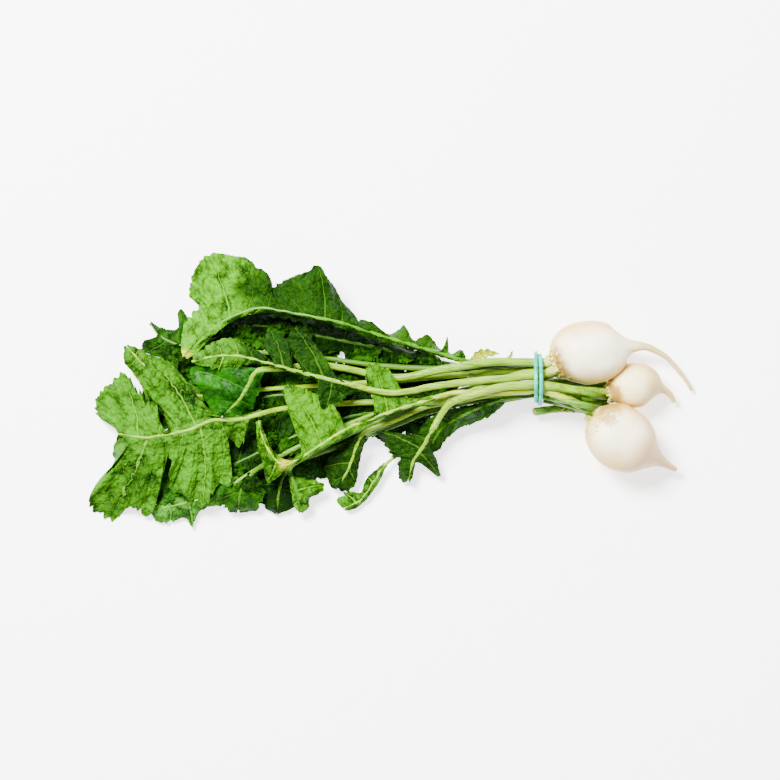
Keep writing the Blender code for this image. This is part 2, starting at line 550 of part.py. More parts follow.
def settle(plan, half, mid, triangles, pile):
    """Push a blade up until no point of it is inside the pile, and record it there."""
    corners, weights = [], []
    for tri in triangles:
        edge = max(np.linalg.norm(plan[tri[k]] - plan[tri[k - 1]]) for k in range(3))
        parts = max(1, math.ceil(edge / SAMPLE_STEP))
        for i in range(parts + 1):
            for j in range(parts + 1 - i):
                corners.append(tri)
                weights.append((i / parts, j / parts, 1 - (i + j) / parts))
    corners, weights = np.array(corners), np.array(weights)
    where = (plan[corners] * weights[:, :, None]).sum(axis=1)
    thick = (half[corners] * weights).sum(axis=1)
    below = Pile.height(pile.everything, where[:, 0], where[:, 1])
    floor = np.where(below > 0, below + GAP, 0.0)
    spread = weights / (weights ** 2).sum(axis=1)[:, None]
    z = mid.copy()
    for turn in range(BLADE_ROUNDS):
        short = floor - ((z[corners] * weights).sum(axis=1) - thick)
        share = spread if turn < BLADE_SPREAD_ROUNDS else np.ones_like(weights)
        raised = np.zeros_like(z)
        np.maximum.at(raised, corners.ravel(), (np.maximum(short, 0)[:, None] * share).ravel())
        z += raised
    pile.add_blade(where[:, 0], where[:, 1], (z[corners] * weights).sum(axis=1) + thick)
    return z


def leaf_sections(leaf, pile):
    """Lay a leaf on the pile and return the upper and lower points of its cross-sections."""
    line = lay_stem(leaf, pile)
    plan, half, mid = stem_sections(leaf, line)
    if leaf.left:
        first = len(plan)
        parts = zip((plan, half, mid), blade_sections(leaf, line))
        plan, half, mid = (np.concatenate(pair) for pair in parts)
        mid = np.maximum(mid, half)
        grid = np.arange(half.size).reshape(half.shape)
        triangles = []
        for i in range(first, len(plan) - 1):
            for j in range(leaf.across - 1):
                a, b, c, d = grid[i, j], grid[i + 1, j], grid[i + 1, j + 1], grid[i, j + 1]
                triangles += [(a, b, c), (a, c, d)]
        mid = settle(plan.reshape(-1, 2), half.ravel(), mid.ravel(), triangles, pile).reshape(half.shape)
        centre = leaf.across // 2
        core = slice(centre - 1, centre + 2)
        mid[first:, core] = mid[first:, core].max(axis=1)[:, None]
        rib = np.column_stack([plan[:, centre], mid[:, centre], half[:, centre]])[first - 1:]
        raised, _ = resample(rib, STEM_STEP)
        pile.add_stem(raised[:, :3], raised[:, 3], False)
    return np.dstack([plan, mid + half]), np.dstack([plan, mid - half])


def closed_sheet(bm, upper, lower):
    """Fill bm with the closed body between two grids of points, split alike on both faces."""
    rows, cols = upper.shape[:2]
    bmesh.ops.create_grid(bm, x_segments=rows - 1, y_segments=cols - 1, size=1.0)
    place = {}
    for vert in bm.verts:
        i = round((vert.co.x + 1) / 2 * (rows - 1))
        j = round((vert.co.y + 1) / 2 * (cols - 1))
        place[vert] = (i, j)
    bmesh.ops.triangulate(bm, faces=bm.faces[:], quad_method="FIXED")
    copy = bmesh.ops.duplicate(bm, geom=bm.verts[:] + bm.edges[:] + bm.faces[:])
    twin = {copy["vert_map"][v]: ij for v, ij in place.items() if v in copy["vert_map"]}
    bmesh.ops.reverse_faces(bm, faces=[f for f in copy["geom"] if isinstance(f, bmesh.types.BMFace)])
    for vert, (i, j) in place.items():
        vert.co = Vector(upper[i, j]) * MM
    for vert, (i, j) in twin.items():
        vert.co = Vector(lower[i, j]) * MM
    rim = [e for e in bm.edges if len(e.link_faces) == 1]
    walls = bmesh.ops.bridge_loops(bm, edges=rim)
    bmesh.ops.triangulate(bm, faces=walls["faces"])
    bmesh.ops.recalc_face_normals(bm, faces=bm.faces[:])


def principled(name, colour, roughness):
    """Return a material with a Principled BSDF."""
    material = bpy.data.materials.new(name)
    material.use_nodes = True
    shader = material.node_tree.nodes["Principled BSDF"]
    shader.inputs["Base Color"].default_value = (*colour, 1.0)
    shader.inputs["Roughness"].default_value = roughness
    shader.inputs["Metallic"].default_value = 0.0
    return material


def add_object(name, bm, material, sharp_angle):
    """Make an object from bm, moved so that the box's middle is the origin."""
    bmesh.ops.translate(bm, verts=bm.verts[:], vec=Vector((-BOX_MIDDLE[0], -BOX_MIDDLE[1], 0)) * MM)
    mesh = bpy.data.meshes.new(name)
    bm.to_mesh(mesh)
    bm.free()
    mesh.shade_smooth()
    mesh.set_sharp_from_angle(angle=math.radians(sharp_angle))
    mesh.materials.append(material)
    obj = bpy.data.objects.new(name, mesh)
    bpy.context.scene.collection.objects.link(obj)


def add_leaf(leaf, pile):
    """Model one leaf on the pile."""
    bm = bmesh.new()
    closed_sheet(bm, *leaf_sections(leaf, pile))
    colour = LEAF_COLOURS.get(leaf.name, PLAIN_LEAF_COLOUR)
    add_object(leaf.name, bm, principled(leaf.name, colour, LEAF_ROUGHNESS), LEAF_SHARP_ANGLE)


def spun_profile(bm, root):
    """Fill bm with a root's profile spun round X."""
    profile, _ = smooth_path(root.profile, PROFILE_STEP)
    line = [bm.verts.new((0, 0, 0))]
    for mark, _ in root.profile:
        line.append(bm.verts.new((mark, 0, float(np.interp(mark, profile[:, 0], profile[:, 1])))))
    line.append(bm.verts.new((root.profile[-1][0], 0, 0)))
    edges = [bm.edges.new(pair) for pair in zip(line, line[1:])]
    bmesh.ops.spin(bm, geom=line + edges, cent=(0, 0, 0), axis=(1, 0, 0), angle=math.tau,
                   steps=ROOT_SIDES, use_merge=True)
    bmesh.ops.remove_doubles(bm, verts=bm.verts[:], dist=1e-4)


def add_root(root):
    """Model a root: its profile spun round X, bent along its spine and cut flat underneath."""
    spine, along = smooth_path(root.spine, SPINE_STEP)
    bm = bmesh.new()
    spun_profile(bm, root)
    for vert in bm.verts:
        s = vert.co.x / root.profile[-1][0] * along[-1]
        marks = (s, max(s - SPINE_REACH, 0), min(s + SPINE_REACH, along[-1]))
        here, before, after = (Vector([np.interp(m, along, spine[:, k]) for k in range(3)]) for m in marks)
        ahead = (after - before).normalized()
        side = Vector((0, 0, 1)).cross(ahead).normalized()
        up = ahead.cross(side)
        turn = math.atan2(vert.co.y, vert.co.z)
        swell = 1 + root.lumps * (math.cos(3 * turn + 0.12 * s) + 0.6 * math.cos(5 * turn - 0.2 * s))
        vert.co = (here + side * vert.co.y * swell + up * vert.co.z * swell) * MM
    bmesh.ops.recalc_face_normals(bm, faces=bm.faces[:])
    bmesh.ops.bisect_plane(bm, geom=bm.verts[:] + bm.edges[:] + bm.faces[:], dist=1e-6,
                           plane_co=(0, 0, 0), plane_no=(0, 0, -1), clear_outer=True)
    rim = [e for e in bm.edges if len(e.link_faces) == 1]
    bmesh.ops.contextual_create(bm, geom=rim)
    bmesh.ops.triangulate(bm, faces=bm.faces[:])
    bmesh.ops.recalc_face_normals(bm, faces=bm.faces[:])
    material = principled(root.name, ROOT_COLOURS[root.name], ROOT_ROUGHNESS)
    add_object(root.name, bm, material, ROOT_SHARP_ANGLE)


def tied_outline(pile):
    """Return the outline round the tied stems in the YZ plane, its outward directions and distances."""
    near = pile.stems[pile.tied & (np.abs(pile.stems[:, 0] - BAND_X) < 2.5 * BAND_SPREAD)]
    turns = np.linspace(0, math.tau, HULL_STEPS, endpoint=False)
    facing = np.stack([np.cos(turns), np.sin(turns)], axis=1)
    support = (near[:, 1:3] @ facing.T + near[:, 3:4]).max(axis=0)
    slope = np.gradient(np.concatenate([support[-2:], support, support[:2]]), turns[1])[2:-2]
    hull = facing * support[:, None] + np.stack([-facing[:, 1], facing[:, 0]], 1) * slope[:, None]
    hull = np.vstack([hull, hull[:1]])
    along = np.concatenate([[0], np.cumsum(np.linalg.norm(np.diff(hull, axis=0), axis=1))])
    return hull, np.vstack([facing, facing[:1]]), along


def add_band(pile):
    """Model the rubber band: one closed loop that goes twice round the stems and crosses itself."""
    hull, facing, along = tied_outline(pile)
    bm = bmesh.new()
    rings = []
    for step in range(BAND_STEPS * 2):
        turn = math.tau * step / BAND_STEPS
        mark = (step / BAND_STEPS + 0.25) % 1.0 * along[-1]
        here = np.array([np.interp(mark, along, hull[:, k]) for k in range(2)])
        out = np.array([np.interp(mark, along, facing[:, k]) for k in range(2)])
        out /= np.linalg.norm(out)
        away = BAND_STRAND_RADIUS + BAND_CLEARANCE + BAND_LIFT * max(0.0, math.sin(turn / 2)) ** 2
        centre = Vector((BAND_X + BAND_SPREAD * math.cos(turn / 2), *(here + out * away)))
        ring = []
        for k in range(BAND_SIDES):
            angle = math.tau * (k + 0.5) / BAND_SIDES
            offset = Vector((math.cos(angle), *(out * math.sin(angle)))) * BAND_STRAND_RADIUS
            ring.append(bm.verts.new((centre + offset) * MM))
        rings.append([bm.edges.new((ring[k - 1], ring[k])) for k in range(BAND_SIDES)])
    for k in range(len(rings)):
        bmesh.ops.bridge_loops(bm, edges=rings[k - 1] + rings[k])
    bmesh.ops.triangulate(bm, faces=bm.faces[:])
    bmesh.ops.recalc_face_normals(bm, faces=bm.faces[:])
    add_object("rubber_band", bm, principled("rubber_band", BAND_COLOUR, BAND_ROUGHNESS), LEAF_SHARP_ANGLE)


def main():
    """Clear the scene and model the bunch."""
    for obj in list(bpy.data.objects):
        bpy.data.objects.remove(obj, do_unlink=True)
    pile = Pile()
    for leaf in LEAVES:
        add_leaf(leaf, pile)
    for root in ROOTS:
        add_root(root)
    add_band(pile)


main()
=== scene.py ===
"""Looks of a tied bunch of three white salad turnips that lies on its side.

The tables hold the plan of the bunch in millimetres, moved by BOX_MIDDLE as its solids are.
"""
import logging
import math
from dataclasses import dataclass
from enum import Enum

import bmesh
import bpy
import numpy as np
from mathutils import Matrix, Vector, noise
from mathutils.bvhtree import BVHTree


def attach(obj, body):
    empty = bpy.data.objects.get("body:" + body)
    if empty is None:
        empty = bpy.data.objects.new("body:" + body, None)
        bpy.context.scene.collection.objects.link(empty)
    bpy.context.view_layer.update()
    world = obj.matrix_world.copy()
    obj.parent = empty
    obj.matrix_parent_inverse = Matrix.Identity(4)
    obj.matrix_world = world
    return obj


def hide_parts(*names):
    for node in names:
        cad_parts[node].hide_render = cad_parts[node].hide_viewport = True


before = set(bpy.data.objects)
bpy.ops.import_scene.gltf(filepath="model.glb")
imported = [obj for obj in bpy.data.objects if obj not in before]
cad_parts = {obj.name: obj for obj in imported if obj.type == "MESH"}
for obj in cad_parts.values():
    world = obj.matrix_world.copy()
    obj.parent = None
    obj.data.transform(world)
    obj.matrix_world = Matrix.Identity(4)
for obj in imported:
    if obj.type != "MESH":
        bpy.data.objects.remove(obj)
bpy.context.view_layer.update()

LOG = logging.getLogger("turnip_bunch")
MM = 0.001

# Middle of the plan's box, which the frame has at its origin
BOX_MIDDLE = (0.21, -0.43)

# Where the band holds the stems, and over what length they run straight there
BAND_X = 109.0
TIED_LENGTH = 10.0

Plan = tuple[tuple[float, float], ...]
Margin = tuple[tuple[float, float, float], ...]
Colour = tuple[float, float, float]


@dataclass(frozen=True)
class LeafFinish:
    """Colours and relief of one kind of leaf.

    Args:
        slot: the record's material slot; not used.
        light: the blade's lighter colour, on its lighter mottles and, as painted light, on its blisters'
            domes.
        dark: the blade's darker colour, on its darker mottles and darker patches, and as painted shade
            between and beside the veins, in the hollows between blisters and in patches shaded by the
            pile.
        vein: colour of the midrib and the veins.
        stem: colour of the leaf stem away from the crown.
        roughness: how dull the blade is.
        relief: strength of the blisters between the net veins.
        sheen: strength of the waxy shine.
    """

    slot: str
    light: Colour
    dark: Colour
    vein: Colour
    stem: Colour
    roughness: float = 0.42
    relief: float = 0.8
    sheen: float = 0.03


class Look(Enum):
    """The kinds of leaf in the bunch."""

    BRIGHT = LeafFinish("leaf_bright", light=(0.054, 0.213, 0.0016), dark=(0.0016, 0.014, 0.0002),
                        vein=(0.077, 0.252, 0.0054), stem=(0.030, 0.10, 0.001))
    YELLOW = LeafFinish("leaf_bright", light=(0.046, 0.180, 0.0002), dark=(0.0035, 0.026, 0.0002),
                        vein=(0.085, 0.24, 0.001), stem=(0.22, 0.30, 0.006))
    GREEN = LeafFinish("leaf_green", light=(0.038, 0.161, 0.003), dark=(0.0010, 0.011, 0.0002),
                       vein=(0.102, 0.264, 0.0128), stem=(0.14, 0.25, 0.003))
    SILVER = LeafFinish("leaf_silver", light=(0.047, 0.187, 0.010), dark=(0.004, 0.032, 0.001),
                        vein=(0.090, 0.261, 0.027), stem=(0.06, 0.16, 0.004), roughness=0.5)
    GLOSSY = LeafFinish("leaf_dark", light=(0.0085, 0.089, 0.0007), dark=(0.0006, 0.012, 0.0002),
                        vein=(0.018, 0.108, 0.0018), stem=(0.12, 0.24, 0.001),
                        roughness=0.38, relief=0.4, sheen=0.07)
    # Leaves deep in the pile: their colours are darker than the leaf's own green, as painted shade of the
    # pile above them.
    DARK = LeafFinish("leaf_dark", light=(0.0105, 0.060, 0.0008), dark=(0.0003, 0.0040, 0.0001),
                      vein=(0.0176, 0.068, 0.0016), stem=(0.035, 0.10, 0.001),
                      roughness=0.45, relief=0.6)


@dataclass(frozen=True)
class Crease:
    """A fold in a blade: a valley along a line in plan.

    Args:
        start: where the line begins.
        end: where it ends.
        depth: depth of the valley.
        width: distance from the line at which little of the depth is left.
    """

    start: tuple[float, float]
    end: tuple[float, float]
    depth: float
    width: float


@dataclass(frozen=True)
class Patch:
    """A round patch of a blade that is darker, or riper and yellow, than the rest.

    Args:
        middle: its middle in plan.
        radius: its radius.
        shade: how much darker it is, or lighter when negative; its darkness is partly the leaf's own
            darker green and partly painted shade of folds, of the leaves above and of the pile's depth.
        ripe: how yellow it is.
    """

    middle: tuple[float, float]
    radius: float
    shade: float = 0.0
    ripe: float = 0.0


@dataclass(frozen=True)
class Leaflet:
    """A small toothed leaf on a leaf stem or in the depth of the pile.

    Args:
        start: where it begins in plan.
        end: its tip in plan.
        width: its greatest width.
        curl: height of its waves.
        shade: how much darker it is than the leaf; for the dark ones that fill gaps deep in the pile this
            is painted shade.
        ripe: how yellow it is.
    """

    start: tuple[float, float]
    end: tuple[float, float]
    width: float
    curl: float = 1.5
    shade: float = 0.3
    ripe: float = 0.0


@dataclass(frozen=True)
class Leaf:
    """A leaf from its crown to its tip, seen from above.

    Args:
        name: the node it replaces.
        root: the root that it grows from.
        slot: its place across the tie.
        radius: the stem's radius.
        route: line of stem and midrib beyond the tie.
        left: margin points, each (share of the midrib where its rib starts, x, y).
        right: the other side's margin points.
        look: its finish.
        ruffle: height of the waves along its margin.
        tooth: depth of its teeth.
        pitch: length of a tooth along the margin.
        step: distance between cross-sections along the margin.
        ribs: points between midrib and margin.
        veins: distance between side veins along the midrib.
        creases: its folds.
        patches: its darker patches, partly painted shade, and its yellow ones.
        leaflets: its small leaves, some of them dark ones that fill shaded gaps in the pile as painted
            shade.
        curls: number of small curled leaves strewn over its blade.
    """

    name: str
    root: int
    slot: float
    radius: float
    route: Plan
    left: Margin = ()
    right: Margin = ()
    look: Look = Look.DARK
    ruffle: float = 1.0
    tooth: float = 2.4
    pitch: float = 7.0
    step: float = 1.5
    ribs: int = 11
    veins: float = 11.0
    creases: tuple[Crease, ...] = ()
    patches: tuple[Patch, ...] = ()
    leaflets: tuple[Leaflet, ...] = ()
    curls: int = 0


@dataclass(frozen=True)
class RootShape:
    """A swollen root.

    Args:
        name: the node it replaces.
        slot: the record's material slot; not used.
        spine: its middle line from the crown to the tail's end, in space.
        profile: pairs of distance from the crown and radius; the last distance is the spine's length.
        lumps: how far it is from round, as a share of its radius.
        skin: colour of its skin.
        blush: colour of its skin where it is older, and of the painted shade towards its sides and
            underneath.
        tail: colour of its tail.
        stain: middle in plan and radius of the brown mark by the crown, partly earth and partly painted
            shade.
    """

    name: str
    slot: str
    spine: tuple[tuple[float, float, float], ...]
    profile: Plan
    lumps: float
    skin: Colour
    blush: Colour
    tail: Colour
    stain: tuple[float, float, float]


# Pieces that a smooth curve is first cut into between two given points
CURVE_PARTS = 16

# Floats that the sheets' points carry for the materials
FLOAT_LAYERS = ("phase", "vein_gap", "major", "side", "rib", "along", "turn", "shade", "ripe", "pale")

# Stem: distance between cross-sections, its taper from a distance on, and the midrib within the blade
STEM_STEP = 1.5
STEM_TAPER = 0.72
TAPER_START = 50.0
STEM_ROUNDS = 8
MIDRIB_END_RADIUS = 0.9
MIDRIB_SLIMMER = 0.12
MIDRIB_SUNK = 0.25
GROOVE_WIDTH = 0.4
RIDGE_COUNT = 7

# Blade's cross-sections: how finely they are looked for, the fewest, and how they are smoothed
SHARE_WEIGHT = 120.0
ROW_SAMPLES = 1600
LEAST_ROWS = 12
SMOOTHING_ROUNDS = 24

# Ribs from midrib to margin: how they bow, how their points crowd at the midrib, and the waves' rise
BOW = 0.05
RIB_CROWDING = 1.15
RUFFLE_RISE = 1.7

# A vein runs into a lobe where it is the widest for this part of the blade, and so far from the last
LOBE_PART = 14
LOBES_APART = 0.05

# Teeth: blade width at which they are full size, their middle and peak, and the small ones between
TOOTH_WIDTH = 12.0
TOOTH_MIDDLE = 0.55
TOOTH_PEAK = 0.68
SMALL_PITCH = 0.41
SMALL_PEAK = 0.6

# Heights and lengths of the blade's waves, of the puckers between veins, and of two kinds of bumps
WAVE_LENGTH = 24.0
WAVE_DRIFT = 14.0
PUCKER = 1.8
BLISTER = 1.1
BLISTER_LENGTH = 5.5
SWELL = 0.9
SWELL_LENGTH = 21.0

# Half the solids' blade, the small leaves' thickness and their gap over the floor, in millimetres
BLADE_HALF = 0.4
BLADE_THICKNESS = 0.5
FLOOR_GAP = 0.02

# Depth of the material's blisters, and the distance at which points are merged, in metres
BLISTER_DEPTH = 0.0016
DOUBLES = 1e-7

# Heights in metres from which the solids are looked at, and the pile's height in millimetres
LOOK_DOWN_FROM = 0.2
LOOK_UP_FROM = -0.01
FIRST_LEVEL = 0.02
PILE_LIMIT = 46.0

# Small leaves: their mesh, teeth, veins and bend, how far they hang, and the room under what covers them
LEAFLET_ROWS = 26
LEAFLET_RIBS = 5
LEAFLET_TEETH = 4.5
LEAFLET_VEINS = 5
LEAFLET_BEND = 0.18
LEAFLET_DROP = 0.4
LEAFLET_RISE = 1.2
LEAFLET_COVER = 1.0

# Ranges of the small leaves strewn over a blade: where they begin, and their length and other measures
STREWN_SHARES = (0.02, 0.9)
STREWN_ALONG = (-9, 9)
STREWN_ACROSS = (-14, 14)
STREWN_LENGTHS = (11, 22)
STREWN_WIDTHS = (0.5, 0.8)
STREWN_CURLS = (1.5, 3.0)
STREWN_SHADES = (-1.0, 0.7)

# Crowns: how far in, how soon and how much widened the stems are drawn to them
CROWN_SHARE = 0.62
CROWN_PULL = 24.0
CROWN_FLARE = 0.3
CROWN_FLARE_LENGTH = CROWN_PULL * 0.6
CROWN_SUNK = 3.0

# Bases of old leaves on a crown, the torn stem's end, and the dry scraps beside it
LEAF_BASES = 34
LEAF_BASE_TAPER = (1.15, 1.1, 1.0, 0.95, 0.85, 0.65, 0.3)
TORN_DEPTH = 2.2
TORN_WALL = 0.7
TORN_HOLLOW = 1.6
HUSK_SCRAPS = 16
HUSK_TAPER = (1.0, 1.1, 1.0, 0.8, 0.3)
HUSK_PLACE = ((128.0, -15.0, 12.0), (138.0, -10.5, 16.0))
HUSK_REACH = ((-3.0, -2.5, 0.5), (4.0, 2.5, 2.5))

# Broken stalks: where each begins and ends in plan, its radius, and how deep it lies in the pile
STALKS = (
    ((112.5, -1.0), (157.0, -9.0), 2.3, 0.8),
    ((112.5, -4.5), (154.0, -13.5), 2.4, 0.4),
    ((113.5, 2.0), (163.5, -5.0), 2.3, 1.6),
    ((113.0, -7.5), (150.0, -16.0), 2.0, 1.2),
    ((112.0, 7.5), (165.0, 3.4), 3.2, 7.5),
    ((118.0, -3.0), (163.0, -9.5), 2.8, 5.0),
)

# The level that they don't lie below before they are sunk, their smoothing and their bow
STALK_LEVEL = 17.0
STALK_ROUNDS = 12
STALK_BOW = 0.8

# Roots: reach of the line that gives the heading, the neck's rings, the skin's roughness and the mesh
SPINE_REACH = 4.0
NECK_RINGS = 0.5
SKIN_LUMPS = 0.25
SKIN_LENGTH = 9.0
ROOT_STEP = 0.9
ROOT_SIDES = 80
CROWN_DISH = ((-1.6, 0.0), (-1.2, 2.4))
TAIL_CAP = 0.4
SMOOTH_ALL_ROUND = 180.0

# Colours
CROWN_PALE = (0.44, 0.46, 0.09)
STEM_STAIN = (0.10, 0.10, 0.005)
CROWN_YELLOW = (0.62, 0.39, 0.04)
SCAR_BROWN = (0.10, 0.045, 0.012)
# Brown of the mark by the crowns, partly earth and partly painted shade
EARTH_AND_SHADE_BROWN = (0.34, 0.20, 0.03)
RIPE_YELLOW = (0.40, 0.40, 0.01)
BASE_CREAM = (0.60, 0.50, 0.20)
BASE_GREEN = (0.26, 0.32, 0.03)
TORN_DARK = (0.10, 0.05, 0.02)
TORN_LIGHT = (0.42, 0.32, 0.14)
BAND_LIGHT = (0.0, 0.50, 0.34)
BAND_DARK = (0.0, 0.26, 0.19)
PAPER_LIGHT = (0.92, 0.92, 0.92)
PAPER_DARK = (0.88, 0.88, 0.88)
WHITE = (1.0, 1.0, 1.0)

